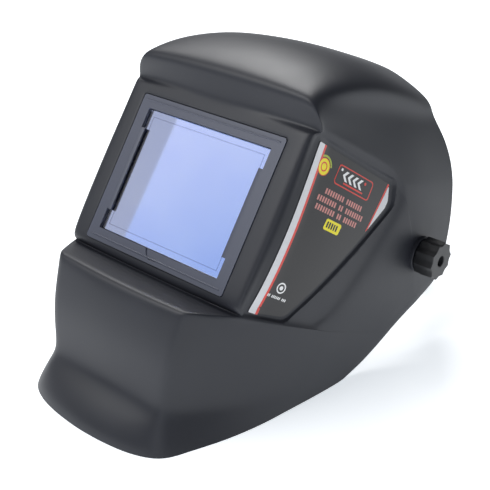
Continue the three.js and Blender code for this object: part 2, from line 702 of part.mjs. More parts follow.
function sideKnob() {
  const outline = lobedOutline(KNOB_RADIUS, KNOB_LOBES, KNOB_FLUTE);
  const grip = alongX(slab(outline, KNOB_INNER_X + 0.8, KNOB_OUTER_X));
  const foot = bar("x", KNOB_RADIUS - KNOB_FLUTE - 0.6, KNOB_INNER_X, KNOB_INNER_X + 3, [0, 0], 32);
  const nutPocket = bar("x", NUT_ACROSS + 0.35, KNOB_INNER_X - 2, NUT_TO + 0.3, [0, 0], 6);
  const hole = bar("x", 4, KNOB_INNER_X, KNOB_OUTER_X + 2);
  return less(union(solid(grip), solid(foot)), solid(nutPocket), solid(hole));
}

function knobNut() {
  return less(solid(bar("x", NUT_ACROSS, NUT_FROM, NUT_TO, [0, 0], 6)), bore(NUT_FROM - 1, NUT_TO + 1));
}

function stud() {
  const head = bar("x", 8, HEAD_FROM, HEAD_TO, [0, 0], 28);
  return union(solid(head), solid(bar("x", STUD_RADIUS, HEAD_TO - 1, STUD_END_X)));
}

function frictionWasher() {
  return less(solid(bar("x", 14, WASHER_FROM, WASHER_TO, [0, 0], 36)), bore(WASHER_FROM - 1, WASHER_TO + 1));
}

function tiltStop() {
  const disc = solid(bar("x", 12, STOP_FROM, STOP_TO, [0, 0], 32));
  const arm = solid(block([STOP_FROM, 0, -STOP_HALF_WIDTH], [STOP_TO, STOP_REACH, STOP_HALF_WIDTH])
    .rotateX(THREE.MathUtils.degToRad(STOP_ARM_ANGLE)));
  return less(union(disc, arm), bore(STOP_FROM - 1, STOP_TO + 1));
}

// ---- Headgear -------------------------------------------------------------------------------------------

const BAND_HALF_WIDTH = 77;
const BAND_FRONT = 95;
const BAND_REAR = 96;
const BAND_CORNER = 34;
const BAND_THICKNESS = 1.6;
const ARM_THICKNESS = 2.4;
const ARM_HEIGHT = 20;
const BAND_HEIGHT = 26;
const BAND_RISE = 2; // of the band's middle over the tilt axis
const BAND_SLOPE = 0.21; // it climbs towards the forehead
const FIT = 0.4; // between straps that lie on each other
const BAND_END_X = 27; // where the band's ends stop, either side of the ratchet

// Leans a piece made level so that it climbs towards the front with the band.
function sloped(geometry) {
  return geometry.applyMatrix4(new THREE.Matrix4().set(
    1, 0, 0, 0,
    0, 1, 0, 0,
    0, -BAND_SLOPE, 1, BAND_RISE,
    0, 0, 0, 1,
  ));
}

// The band's middle line on the wearer's left, from the forehead to its rear end.
function bandHalf() {
  const front = ellipsePoints(BAND_HALF_WIDTH, BAND_FRONT, -90, 0, 14);
  const corner = ellipsePoints(BAND_CORNER, BAND_CORNER, 0, 90, 9)
    .map(([x, y]) => [x + BAND_HALF_WIDTH - BAND_CORNER, y + BAND_REAR - BAND_CORNER]);
  return [...front, ...corner, [BAND_END_X, BAND_REAR]];
}

function frontBand() {
  const left = bandHalf();
  const right = left.slice(1).reverse().map(([x, y]) => [-x, y]);
  return sloped(slab(strap([...right, ...left], BAND_THICKNESS), -BAND_HEIGHT / 2, BAND_HEIGHT / 2));
}

function sweatband() {
  const inset = BAND_THICKNESS / 2 + FIT + 3;
  const points = ellipsePoints(BAND_HALF_WIDTH - inset, BAND_FRONT - inset, -148, -32, 19);
  return sloped(slab(strap(points, 6), -16, 16));
}

// The side arm lies on the band's outer face and bends out to the ear on the tilt axis.
function sideArm() {
  const outset = BAND_THICKNESS / 2 + FIT + ARM_THICKNESS / 2;
  const onBand = ellipsePoints(BAND_HALF_WIDTH + outset, BAND_FRONT + outset, -46, -24, 7);
  const ear = (EAR_FROM + EAR_TO) / 2;
  const path = [...onBand, [ear - 3, -17], [ear, -11], [ear, 0]];
  const arm = solid(sloped(slab(strap(path, ARM_THICKNESS), -ARM_HEIGHT / 2, ARM_HEIGHT / 2)));
  const disc = solid(bar("x", 14, EAR_FROM, EAR_TO, [0, 0], 36));
  return less(union(arm, disc), bore(EAR_FROM - 1, EAR_TO + 1));
}

// One half of the strap over the head, from above the ear past the middle.
const CROWN_HEIGHT = 106;
const CROWN_WIDTH = 22;
const CROWN_OVERLAP = 22; // degrees past the middle
const CROWN_Y = -4; // the strap's middle, ahead of the tilt axis
const PEG_RADIUS = 2.6;

function crownStrap(lift) {
  const outset = BAND_THICKNESS + 2.5 * FIT;
  const points = ellipsePoints(
    BAND_HALF_WIDTH + outset, CROWN_HEIGHT + outset + lift, 0, 90 + CROWN_OVERLAP, 24,
  ).map(([x, z]) => [x, z + 4]);
  const run = slab(strap([[points[0][0], -6], ...points], BAND_THICKNESS), -CROWN_WIDTH / 2, CROWN_WIDTH / 2);
  run.rotateX(Math.PI / 2).translate(0, CROWN_Y, 0);
  const pegHole = bar("z", PEG_RADIUS + 0.4, CROWN_HEIGHT - 20, CROWN_HEIGHT + 40, [0, CROWN_Y], 20);
  return less(solid(run), solid(pegHole));
}

const CROWN_LIFT = BAND_THICKNESS + 2 * FIT; // the upper half lies on the lower one
const CROWN_TOP = CROWN_HEIGHT + BAND_THICKNESS + 2.5 * FIT + CROWN_LIFT + BAND_THICKNESS / 2 + 4;

function crownPeg() {
  const cap = solid(bar("z", 6.5, CROWN_TOP + 0.4, CROWN_TOP + 2.6, [0, CROWN_Y], 24));
  const shank = solid(bar("z", PEG_RADIUS, CROWN_TOP - 8.5, CROWN_TOP + 1, [0, CROWN_Y], 20));
  return union(cap, shank);
}

// ---- Ratchet at the back of the head --------------------------------------------------------------------
// Two toothed tails cross in the housing, one in front of the other, with the pinion through both slots.

const MODULE = 1;
const PINION_TEETH = 12;
const PITCH_RADIUS = MODULE * PINION_TEETH / 2;
const TOOTH_PITCH = Math.PI * MODULE;
const BACKLASH = 0.35;
const TAIL_THICKNESS = 1.6;
const TAIL_HALF_HEIGHT = 10;
const TAIL_OUTER_X = 50;
const TAIL_TIP_X = -20;
const SLOT_FROM = -16;
const SLOT_TO = 22;
const SLOT_FLOOR = -7.6; // clear of the pinion on its toothless side
const HOUSING_HALF_WIDTH = 25;
const HOUSING_HALF_HEIGHT = 13.2;
const LAYER_1 = BAND_REAR + BAND_THICKNESS / 2 + FIT; // near faces of the two tails
const LAYER_2 = LAYER_1 + TAIL_THICKNESS + 0.3;
const COVER_INNER_Y = LAYER_2 + TAIL_THICKNESS + 0.5;
const COVER_OUTER_Y = COVER_INNER_Y + 2.2;
const BASE_FROM = LAYER_1 - 2.6;
const BASE_TO = LAYER_1 - 0.3;
const RATCHET_Z = -18; // the ratchet's middle, under the tilt axis
const WHEEL_RADIUS = 17;
const WHEEL_TO = COVER_OUTER_Y + 11;
const WHEEL_SHAFT = 3;
const NAPE_PAD_THICKNESS = 7;

// Teeth that point down from the top edge of a slot: a rack on the line one pitch radius up.
function rackTeeth(from, to) {
  const [root, tip] = [PITCH_RADIUS + 1.15 * MODULE, PITCH_RADIUS - 0.75 * MODULE];
  const outline = [[to, root + 0.6], [from, root + 0.6]];
  const first = Math.ceil((from - TOOTH_PITCH / 2) / TOOTH_PITCH + 0.5);
  const last = Math.floor((to + TOOTH_PITCH / 2) / TOOTH_PITCH - 0.5);
  const wide = TOOTH_PITCH / 4 + 0.38 * MODULE - BACKLASH / 2;
  const narrow = TOOTH_PITCH / 4 - 0.3 * MODULE - BACKLASH / 2;
  outline.push([from, root]);
  for (let i = first; i <= last; i++) {
    const middle = (i - 0.5) * TOOTH_PITCH;
    if (middle - wide < from || middle + wide > to) continue;
    outline.push([middle - wide, root], [middle - narrow, tip], [middle + narrow, tip], [middle + wide, root]);
  }
  outline.push([to, root]);
  return new THREE.Shape(outline.map(([x, z]) => new THREE.Vector2(x, z)));
}

// The tail that comes from the wearer's left, its slot toothed along the top.
function rearTail(layer) {
  const outline = new THREE.Shape([
    [TAIL_TIP_X, -TAIL_HALF_HEIGHT], [TAIL_OUTER_X, -TAIL_HALF_HEIGHT],
    [TAIL_OUTER_X, TAIL_HALF_HEIGHT], [TAIL_TIP_X, TAIL_HALF_HEIGHT],
  ].map((p) => new THREE.Vector2(...p)));
  const [floor, roof] = [SLOT_FLOOR, PITCH_RADIUS + 1.15 * MODULE + 0.3];
  outline.holes.push(new THREE.Path([
    [SLOT_FROM, floor], [SLOT_FROM, roof], [SLOT_TO, roof], [SLOT_TO, floor],
  ].map((p) => new THREE.Vector2(...p))));
  return union(
    solid(upright(outline, layer, layer + TAIL_THICKNESS)),
    solid(upright(rackTeeth(SLOT_FROM, SLOT_TO), layer, layer + TAIL_THICKNESS)),
  );
}

function pinion() {
  const [root, tip] = [PITCH_RADIUS - 1.2 * MODULE, PITCH_RADIUS + 0.8 * MODULE];
  const half = (radius, share) => (share * TOOTH_PITCH - BACKLASH / 2) / radius;
  const flank = [[root, 0.36], [PITCH_RADIUS, 0.25], [tip, 0.13]].map(([r, share]) => [r, half(r, share)]);
  const tooth = [...flank.map(([r, a]) => [r, -a]), ...flank.reverse()];
  const outline = range(PINION_TEETH, (i) => tooth.map(([r, a]) => {
    const angle = (2 * Math.PI * i) / PINION_TEETH + a;
    return new THREE.Vector2(r * Math.cos(angle), r * Math.sin(angle));
  })).flat();
  const shape = new THREE.Shape(outline);
  shape.holes.push(new THREE.Path().absarc(0, 0, WHEEL_SHAFT + STUD_CLEARANCE, 0, 2 * Math.PI, true));
  return upright(shape, LAYER_1, COVER_INNER_Y - 0.3);
}

function housingPlate(from, to) {
  return solid(upright(roundedRectangle(2 * HOUSING_HALF_WIDTH, 2 * HOUSING_HALF_HEIGHT, 4), from, to));
}

function ratchetHousing() {
  const walls = [-1, 1].map((side) => {
    const [low, high] = [side * (TAIL_HALF_HEIGHT + 0.5), side * HOUSING_HALF_HEIGHT].sort((a, b) => a - b);
    const reach = HOUSING_HALF_WIDTH - 4;
    return solid(block([-reach, BASE_TO - 0.5, low], [reach, COVER_INNER_Y - 0.3, high]));
  });
  return union(housingPlate(BASE_FROM, BASE_TO), ...walls);
}

function ratchetCover() {
  const hole = solid(bar("y", WHEEL_SHAFT + STUD_CLEARANCE, COVER_INNER_Y - 1, COVER_OUTER_Y + 1));
  return less(housingPlate(COVER_INNER_Y, COVER_OUTER_Y), hole);
}

function ratchetKnob() {
  const wheel = solid(upright(lobedOutline(WHEEL_RADIUS, 20, 1, 6), COVER_OUTER_Y + 0.4, WHEEL_TO - 1.5));
  const crown = solid(bar("y", WHEEL_RADIUS - 2.5, WHEEL_TO - 2, WHEEL_TO, [0, 0], 40));
  const shaft = solid(bar("y", WHEEL_SHAFT, LAYER_1 + 0.2, COVER_OUTER_Y + 1));
  return union(wheel, crown, shaft);
}

function napePad() {
  return upright(roundedRectangle(64, 32, 9), BASE_FROM - 0.5 - NAPE_PAD_THICKNESS, BASE_FROM - 0.5);
}

// ---- Assembly -------------------------------------------------------------------------------------------

for (const [side, sign] of [["left", 1], ["right", -1]]) {
  const group = new THREE.Group();
  group.scale.x = sign;
  headgear.add(group);
  piece(`knob_${side}`, geometryOf(sideKnob()), knobPlastic, group);
  piece(`knob_nut_${side}`, geometryOf(knobNut()), brass, group);
  piece(`stud_${side}`, geometryOf(stud()), steel, group);
  piece(`friction_washer_${side}`, geometryOf(frictionWasher()), rubber, group);
  piece(`tilt_stop_${side}`, geometryOf(tiltStop()), knobPlastic, group);
  piece(`side_arm_${side}`, geometryOf(sideArm()), bandPlastic, group);
  piece(`crown_strap_${side}`, geometryOf(crownStrap(sign > 0 ? 0 : CROWN_LIFT)), bandPlastic, group);
}

piece("front_band", frontBand(), bandPlastic, headgear);
piece("sweatband", sweatband(), foam, headgear);
piece("crown_peg", geometryOf(crownPeg()), knobPlastic, headgear);

const ratchet = new THREE.Group();
ratchet.position.z = RATCHET_Z;
headgear.add(ratchet);
piece("ratchet_housing", geometryOf(ratchetHousing()), knobPlastic, ratchet);
piece("ratchet_cover", geometryOf(ratchetCover()), knobPlastic, ratchet);
piece("ratchet_knob", geometryOf(ratchetKnob()), knobPlastic, ratchet);
piece("ratchet_pinion", pinion(), steel, ratchet);
piece("nape_pad", napePad(), foam, ratchet);
piece("rear_band_left", geometryOf(rearTail(LAYER_1)), bandPlastic, ratchet);
const crossing = new THREE.Group();
crossing.rotation.y = Math.PI;
ratchet.add(crossing);
piece("rear_band_right", geometryOf(rearTail(LAYER_2)), bandPlastic, crossing);

export default helmet;
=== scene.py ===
"""A welding helmet: its finished surfaces, materials and light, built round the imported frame.

Lengths are in metres. The shell's net and the printed label are listed in millimetres and scaled once.
+X is the wearer's left, -Y the front, +Z up.
"""
import math

import bmesh
import bpy
from mathutils import Matrix, Vector
from mathutils.bvhtree import BVHTree


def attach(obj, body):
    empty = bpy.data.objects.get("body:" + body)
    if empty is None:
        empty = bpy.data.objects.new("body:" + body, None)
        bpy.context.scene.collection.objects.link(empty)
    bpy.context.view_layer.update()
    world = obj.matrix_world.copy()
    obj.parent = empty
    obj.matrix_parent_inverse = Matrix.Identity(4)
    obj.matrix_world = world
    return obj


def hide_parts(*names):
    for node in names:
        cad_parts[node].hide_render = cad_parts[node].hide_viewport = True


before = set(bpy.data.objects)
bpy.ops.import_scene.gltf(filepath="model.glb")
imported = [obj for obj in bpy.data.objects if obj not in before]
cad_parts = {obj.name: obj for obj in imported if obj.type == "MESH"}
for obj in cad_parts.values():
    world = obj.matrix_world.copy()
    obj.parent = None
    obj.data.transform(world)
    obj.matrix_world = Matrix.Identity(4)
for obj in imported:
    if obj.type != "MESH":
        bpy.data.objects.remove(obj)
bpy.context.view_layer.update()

MM = 0.001
scene = bpy.context.scene

# ---- Driving sizes, as the part has them ---------------------------------------------------------------

WINDOW_TILT = math.radians(36.4)
WINDOW = Vector((0, -0.0752, 0.140))  # the window's centre
PIVOT = Vector((0, 0.0648, 0.070))  # the tilt axis
FRAME_SIZE = (0.128, 0.109)  # flange of the lens frame
FRAME_GAP = 0.00045
PLATE_SIZE = (0.110, 0.090)
PRINTED_LINE_INSET = 0.0045  # from the filter plate's edge
BOX_X = 80.0  # half-width of the window box, in the net's millimetres
WALL = 0.0026
LABEL_STEP = 2.6  # how far the side panels are let in, in the net's millimetres

# The window's own frame: X across, Y up along the window, Z out through it.
WINDOW_PLACE = Matrix.Translation(WINDOW) @ Matrix.Rotation(math.pi / 2 - WINDOW_TILT, 4, "X")


# ---- Camera --------------------------------------------------------------------------------------------

def make_camera():
    """The camera, in front, to the wearer's left and above."""
    camera = bpy.data.objects.new("camera", bpy.data.cameras.new("camera"))
    scene.collection.objects.link(camera)
    camera.data.lens = 73.5
    camera.data.sensor_width = 36
    camera.data.clip_start = 0.01
    camera.location = WINDOW + Vector((0.4279, -0.4320, 0.2896))
    camera.rotation_euler = (math.radians(90 - 28.7), 0, math.radians(40.7))
    scene.camera = camera
    return camera


camera = make_camera()


# ---- Material tools ------------------------------------------------------------------------------------

def linear(code):
    """An sRGB hex colour as a linear one."""
    values = [int(code[i:i + 2], 16) / 255 for i in (1, 3, 5)]
    return (*[v / 12.92 if v <= 0.04045 else ((v + 0.055) / 1.055) ** 2.4 for v in values], 1)


def add(tree, kind, settings=None, links=None):
    """Adds a node. A setting is an input's value where the node has that input, and else a property."""
    node = tree.nodes.new(kind)
    for key, value in (settings or {}).items():
        if isinstance(key, int) or key in node.inputs:
            node.inputs[key].default_value = value
        else:
            setattr(node, key, value)
    for key, source in (links or {}).items():
        tree.links.new(source, node.inputs[key])
    return node


def start_material(name, **values):
    """A material with its Principled shader's own values set, its tree, shader and object coordinates."""
    material = bpy.data.materials.new(name)
    material.use_nodes = True
    tree = material.node_tree
    shader = tree.nodes["Principled BSDF"]
    for key, value in values.items():
        shader.inputs[key.replace("_", " ")].default_value = value
    return material, tree, shader, add(tree, "ShaderNodeTexCoord").outputs["Object"]


def grained(name, dark, light, grain, depth, roughness, spread=0.06, mottle=0.03, **values):
    """Moulded plastic: a spark-eroded grain in the bump, and a slow drift of tone and gloss."""
    material, tree, shader, place = start_material(name, **values)
    flow = add(tree, "ShaderNodeTexNoise", {"Scale": 1 / mottle, "Detail": 3.0}, {"Vector": place})
    ramp = add(tree, "ShaderNodeMix", {"data_type": "RGBA", 6: linear(dark), 7: linear(light)},
               {0: flow.outputs["Fac"]})
    tree.links.new(ramp.outputs[2], shader.inputs["Base Color"])
    fine = add(tree, "ShaderNodeTexNoise", {"Scale": 1 / grain, "Detail": 2.0, "Roughness": 0.6},
               {"Vector": place})
    gloss = add(tree, "ShaderNodeMapRange", {"To Min": roughness - spread, "To Max": roughness + spread},
                {"Value": flow.outputs["Fac"]})
    tree.links.new(gloss.outputs["Result"], shader.inputs["Roughness"])
    bump = add(tree, "ShaderNodeBump", {"Strength": 0.35, "Distance": depth},
               {"Height": fine.outputs["Fac"]})
    tree.links.new(bump.outputs["Normal"], shader.inputs["Normal"])
    return material


# ---- Materials -----------------------------------------------------------------------------------------

def moulded_polypropylene():
    # Charcoal with a breath of blue: fine matt grain, 0.5 mm across in the mould, drawn at 1.1 mm to show.
    return grained("moulded_polypropylene", "#24262d", "#2a2c34", 0.0011, 0.00006, 0.47, IOR=1.49)


def moulded_nylon():
    # The lens frame: a little lighter and bluer than the shell, with a satin face off a polished tool.
    return grained("moulded_nylon", "#454959", "#4d5162", 0.0012, 0.00003, 0.4, IOR=1.53)


def matt_black_nylon():
    # Knobs and ratchet: glass-filled nylon, near black and evenly matt.
    return grained("matt_black_nylon", "#151619", "#1d1e21", 0.0009, 0.00005, 0.46, IOR=1.53)


def band_polyethylene():
    # Straps and arms: waxy black polyethylene, smoother than the shell, with faint flow marks.
    return grained("band_polyethylene", "#1b1c1f", "#232428", 0.002, 0.00003, 0.38, IOR=1.51)


def knitted_cloth():
    # Sweatband and nape pad: brushed knit over foam. The stitches are 0.9 mm apart, drawn at 1.6 mm.
    material, tree, shader, place = start_material("knitted_cloth", Roughness=0.92, Sheen_Weight=0.35)
    shader.inputs["Sheen Roughness"].default_value = 0.5
    weave = add(tree, "ShaderNodeTexVoronoi", {"Scale": 1 / 0.0016}, {"Vector": place})
    # Painted shade: the knit's tone darkens towards each stitch's edge, in the hollows that the bump sinks.
    tone = add(tree, "ShaderNodeMix", {"data_type": "RGBA", 6: linear("#34363b"), 7: linear("#1d1e22")},
               {0: weave.outputs["Distance"]})
    tree.links.new(tone.outputs[2], shader.inputs["Base Color"])
    bump = add(tree, "ShaderNodeBump", {"Strength": 0.6, "Distance": 0.0004, "invert": True},
               {"Height": weave.outputs["Distance"]})
    tree.links.new(bump.outputs["Normal"], shader.inputs["Normal"])
    return material


def bright_metal(name, dark, light, roughness):
    """Plated or turned metal, with fine lines round the X axis where the tool ran."""
    material, tree, shader, place = start_material(name, Metallic=1.0)
    cloud = add(tree, "ShaderNodeTexNoise", {"Scale": 240.0, "Detail": 2.0}, {"Vector": place})
    tone = add(tree, "ShaderNodeMix", {"data_type": "RGBA", 6: linear(dark), 7: linear(light)},
               {0: cloud.outputs["Fac"]})
    tree.links.new(tone.outputs[2], shader.inputs["Base Color"])
    gloss = add(tree, "ShaderNodeMapRange", {"To Min": roughness - 0.07, "To Max": roughness + 0.07},
                {"Value": cloud.outputs["Fac"]})
    tree.links.new(gloss.outputs["Result"], shader.inputs["Roughness"])
    lines = add(tree, "ShaderNodeTexWave", {"Scale": 1 / 0.004, "Distortion": 1.5, "bands_direction": "X"},
                {"Vector": place})
    bump = add(tree, "ShaderNodeBump", {"Strength": 0.15, "Distance": 0.00004},
               {"Height": lines.outputs["Fac"]})
    tree.links.new(bump.outputs["Normal"], shader.inputs["Normal"])
    return material


def moulded_rubber():
    # Friction washers: sooty matt rubber with a dusty bloom.
    return grained("moulded_rubber", "#121213", "#1c1c1d", 0.0008, 0.00008, 0.75, IOR=1.52)


def clear_polycarbonate():
    # Cover plates: water-clear, very slightly blue, with a hard gloss.
    material, tree, shader, place = start_material(
        "clear_polycarbonate", Transmission_Weight=1.0, IOR=1.585, Roughness=0.02)
    haze = add(tree, "ShaderNodeTexNoise", {"Scale": 30.0}, {"Vector": place})
    tone = add(tree, "ShaderNodeMix", {"data_type": "RGBA", 6: linear("#f2f5ff"), 7: linear("#fbfcff")},
               {0: haze.outputs["Fac"]})
    tree.links.new(tone.outputs[2], shader.inputs["Base Color"])
    return material


def coated_filter_glass():
    # The dark filter's coated face: a pale violet-blue mirror. A printed line runs 4.5 mm inside its edge.
    material, tree, shader, place = start_material("coated_filter_glass", Metallic=1.0, Roughness=0.025)
    drift = add(tree, "ShaderNodeTexNoise", {"Scale": 14.0, "Detail": 1.0}, {"Vector": place})
    tone = add(tree, "ShaderNodeMix", {"data_type": "RGBA", 6: linear("#bcc8f0"), 7: linear("#c6d0f4")},
               {0: drift.outputs["Fac"]})
    turn = (WINDOW_TILT - math.pi / 2, 0, 0)
    shift = add(tree, "ShaderNodeVectorMath", {"operation": "SUBTRACT", 1: WINDOW}, {0: place})
    flat = add(tree, "ShaderNodeMapping", {"Rotation": turn}, {"Vector": shift.outputs["Vector"]})
    size = (*[1 / (side / 2 - PRINTED_LINE_INSET) for side in PLATE_SIZE], 0)
    share = add(tree, "ShaderNodeVectorMath", {"operation": "MULTIPLY", 1: size},
                {0: flat.outputs["Vector"]})
    edge = add(tree, "ShaderNodeVectorMath", {"operation": "ABSOLUTE"}, {0: share.outputs["Vector"]})
    axes = add(tree, "ShaderNodeSeparateXYZ", {}, {0: edge.outputs["Vector"]})
    far = add(tree, "ShaderNodeMath", {"operation": "MAXIMUM"},
              {0: axes.outputs["X"], 1: axes.outputs["Y"]})
    line = add(tree, "ShaderNodeMath", {"operation": "COMPARE", 1: 1.0, 2: 0.008},
               {0: far.outputs["Value"]})
    mark = add(tree, "ShaderNodeMix", {"data_type": "RGBA", 7: linear("#99a5cf")},
               {0: line.outputs["Value"], 6: tone.outputs[2]})
    tree.links.new(mark.outputs[2], shader.inputs["Base Color"])
    return material


def printed_film(name, code, roughness=0.32):
    """Glossy printed vinyl in one ink, with a faint orange peel."""
    material, tree, shader, place = start_material(name, Roughness=roughness, Coat_Weight=0.1)
    peel = add(tree, "ShaderNodeTexNoise", {"Scale": 1 / 0.0025}, {"Vector": place})
    tone = add(tree, "ShaderNodeMix", {"data_type": "RGBA", 6: linear(code)},
               {0: peel.outputs["Fac"]})
    tone.inputs[7].default_value = [min(1, 1.15 * c + 0.002) for c in linear(code)[:3]] + [1]
    tree.links.new(tone.outputs[2], shader.inputs["Base Color"])
    bump = add(tree, "ShaderNodeBump", {"Strength": 0.1, "Distance": 0.00003},
               {"Height": peel.outputs["Fac"]})
    tree.links.new(bump.outputs["Normal"], shader.inputs["Normal"])
    return material


SHELL_PLASTIC = moulded_polypropylene()
FRAME_PLASTIC = moulded_nylon()
KNOB_PLASTIC = matt_black_nylon()
BAND_PLASTIC = band_polyethylene()
PADDING = knitted_cloth()
ZINC_STEEL = bright_metal("zinc_plated_steel", "#a9acb1", "#c9ccd0", 0.3)
TURNED_BRASS = bright_metal("turned_brass", "#a8863c", "#c9a653", 0.28)
RUBBER = moulded_rubber()
CLEAR = clear_polycarbonate()
FILTER_GLASS = coated_filter_glass()
BLACK_FILM = printed_film("black_printed_film", "#151417")
SILVER_INK = printed_film("silver_ink", "#d9d9dc", 0.38)
RED_INK = printed_film("red_ink", "#dc3528")
YELLOW_INK = printed_film("yellow_ink", "#f8e40c")
PINK_INK = printed_film("pale_red_ink", "#d08a84")
WHITE_INK = printed_film("white_ink", "#f4f4f4")
LEAF_INK = printed_film("leaf_green_ink", "#a9ba3a")

# ---- Mesh tools ----------------------------------------------------------------------------------------


def finished(name, bm, material, body, slot, replaces=(), smooth=math.radians(32)):
    """A bmesh as a shown piece under its body, smooth but for its sharp edges. The slot is not used."""
    mesh = bpy.data.meshes.new(name)
    bm.to_mesh(mesh)
    bm.free()
    mesh.shade_smooth()
    mesh.set_sharp_from_angle(angle=smooth)
    mesh.materials.append(material)
    piece = bpy.data.objects.new(name, mesh)
    scene.collection.objects.link(piece)
    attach(piece, body)
    if replaces:
        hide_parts(*replaces)
    return piece


def work_object(bm):
    """An object to modify or to cut with, taken away again before the end. The bmesh is used up."""
    mesh = bpy.data.meshes.new("work")
    bm.to_mesh(mesh)
    bm.free()
    work = bpy.data.objects.new("work", mesh)
    scene.collection.objects.link(work)
    return work


def taken(work):
    """A work object's modified shape as a bmesh. The object is removed."""
    done = work.evaluated_get(bpy.context.evaluated_depsgraph_get())
    result = bmesh.new()
    result.from_mesh(done.to_mesh())
    done.to_mesh_clear()
    bpy.data.objects.remove(work)
    return result


def modified(bm, modifiers):
    """A bmesh put through modifiers: (kind, settings) pairs. The bmesh given is used up."""
    work = work_object(bm)
    for kind, settings in modifiers:
        modifier = work.modifiers.new(kind.lower(), kind)
        for key, value in settings.items():
            setattr(modifier, key, value)
    bpy.context.view_layer.update()
    return taken(work)


def soften(bm, width):
    """Rounds every edge that turns by more than 30 degrees."""
    sharp = [e for e in bm.edges if e.is_manifold and e.calc_face_angle() > math.radians(30)]
    bmesh.ops.bevel(bm, geom=sharp, offset=width, offset_type="OFFSET", affect="EDGES", segments=2,
                    profile=0.5, material=-1, clamp_overlap=True)


def rounded_plate(bm, width, height, radius, segments=6):
    """A flat rounded rectangle at the origin, facing +Z. Returns its face."""
    grid = bmesh.ops.create_grid(bm, x_segments=1, y_segments=1, size=0.5)
    bmesh.ops.scale(bm, vec=(width, height, 1), verts=grid["verts"])
    bmesh.ops.bevel(bm, geom=grid["verts"], offset=radius, offset_type="OFFSET", affect="VERTICES",
                    segments=segments, profile=0.5, material=-1)
    return bm.faces[:][-1]


def push(bm, face, rise, grow=(0, 0)):
    """Extrudes a flat face along Z and widens it by so much all told. Returns the new face."""
    capped = any(len(e.link_faces) > 1 for e in face.edges)
    result = bmesh.ops.extrude_face_region(bm, geom=[face])["geom"]
    new = [g for g in result if isinstance(g, bmesh.types.BMFace)][0]
    if capped:
        bmesh.ops.delete(bm, geom=[face], context="FACES_ONLY")
    width, height = [max(v.co[i] for v in new.verts) * 2 for i in (0, 1)]
    for v in new.verts:
        v.co.x *= (width + grow[0]) / width
        v.co.y *= (height + grow[1]) / height
        v.co.z += rise
    return new


def rings(count, steps, place):
    """A solid of rings with count points each. place(i, *step) puts point i of the ring that a step makes.
    The first and last rings are single points, or are the same ring."""
    bm = bmesh.new()
    bmesh.ops.create_circle(bm, segments=count, radius=1)
    ring, edges = list(bm.verts), list(bm.edges)
    turn = {v: round(math.atan2(v.co.y, v.co.x) * count / math.tau) % count for v in ring}
    for number, step in enumerate(steps):
        if number:
            result = bmesh.ops.extrude_edge_only(bm, edges=edges)["geom"]
            old = set(ring)
            ring = [g for g in result if isinstance(g, bmesh.types.BMVert)]
            edges = [g for g in result if isinstance(g, bmesh.types.BMEdge)]
            for v in ring:
                turn[v] = next(turn[e.other_vert(v)] for e in v.link_edges if e.other_vert(v) in old)
        for v in ring:
            v.co = place(turn[v], *step)
    bmesh.ops.remove_doubles(bm, verts=bm.verts, dist=1e-6)
    bmesh.ops.recalc_face_normals(bm, faces=bm.faces)
    return bm


def turned(profile, segments=64, lobes=0):
    """A turned solid along Z. The profile lists (height, radius) or (height, radius, flute depth)."""
    def place(i, height, radius, flute=0):
        angle = i * math.tau / segments
        reach = radius - flute * abs(math.cos(lobes * angle / 2))
        return Vector((reach * math.cos(angle), reach * math.sin(angle), height))

    return rings(segments, profile, place)


def joined(*parts):
    """Several bmeshes in one. The ones after the first are used up."""
    whole = parts[0]
    for part in parts[1:]:
        mesh = bpy.data.meshes.new("part")
        part.to_mesh(mesh)
        part.free()
        whole.from_mesh(mesh)
        bpy.data.meshes.remove(mesh)
    return whole


def placed(bm, matrix):
    """The bmesh itself, moved by a matrix."""
    bmesh.ops.transform(bm, matrix=matrix, verts=bm.verts)
    return bm


def side_place(side):
    """From a part's own Z to the tilt axis, outwards on the wearer's left (1) or right (-1)."""
    return Matrix.Translation(PIVOT) @ Matrix.Rotation(side * math.pi / 2, 4, "Y")


# ---- The shell's net -----------------------------------------------------------------------------------
# A net of control points that Subdivision Surface smooths. Each row starts on the centre line, crosses the
# face, turns the corner and runs back along the side to the rear edge. Its columns are: 0 to 2 on the face,
# 3 the corner, 4 just behind it, 5 the label's front edge, 6 and 7 along the label, 8 and 9 the inner and
# outer sides of the step at its rear, 10 near the pivot and 11 the rear edge. Millimetres from the window's
# centre: back and up.


def from_window(back, up):
    """Back and up in the window's own lean, turned level: back square to the window, up along it."""
    return (up * math.sin(WINDOW_TILT) + back * math.cos(WINDOW_TILT),
            up * math.cos(WINDOW_TILT) - back * math.sin(WINDOW_TILT))


def over(height):
    """A height over the ground, as up from the window's centre."""
    return height - WINDOW.z / MM


BOX_FOOT = -FRAME_SIZE[1] / MM / 2 - 6  # the window face's ends, along the window
BOX_HEAD = FRAME_SIZE[1] / MM / 2 + 9


def on_window(up):
    """A point of the window's face."""
    return from_window(0, up)


def from_foot(back, up):
    """A point by how far it is from the face's lower end."""
    return tuple(a + b for a, b in zip(on_window(BOX_FOOT), (back, up)))


def from_head(back, up):
    """A point by how far it is from the face's upper end."""
    return tuple(a + b for a, b in zip(on_window(BOX_HEAD), (back, up)))


FACE_FOOT = on_window(BOX_FOOT + 8.5)
FACE_HEAD = on_window(BOX_HEAD - 6.5)

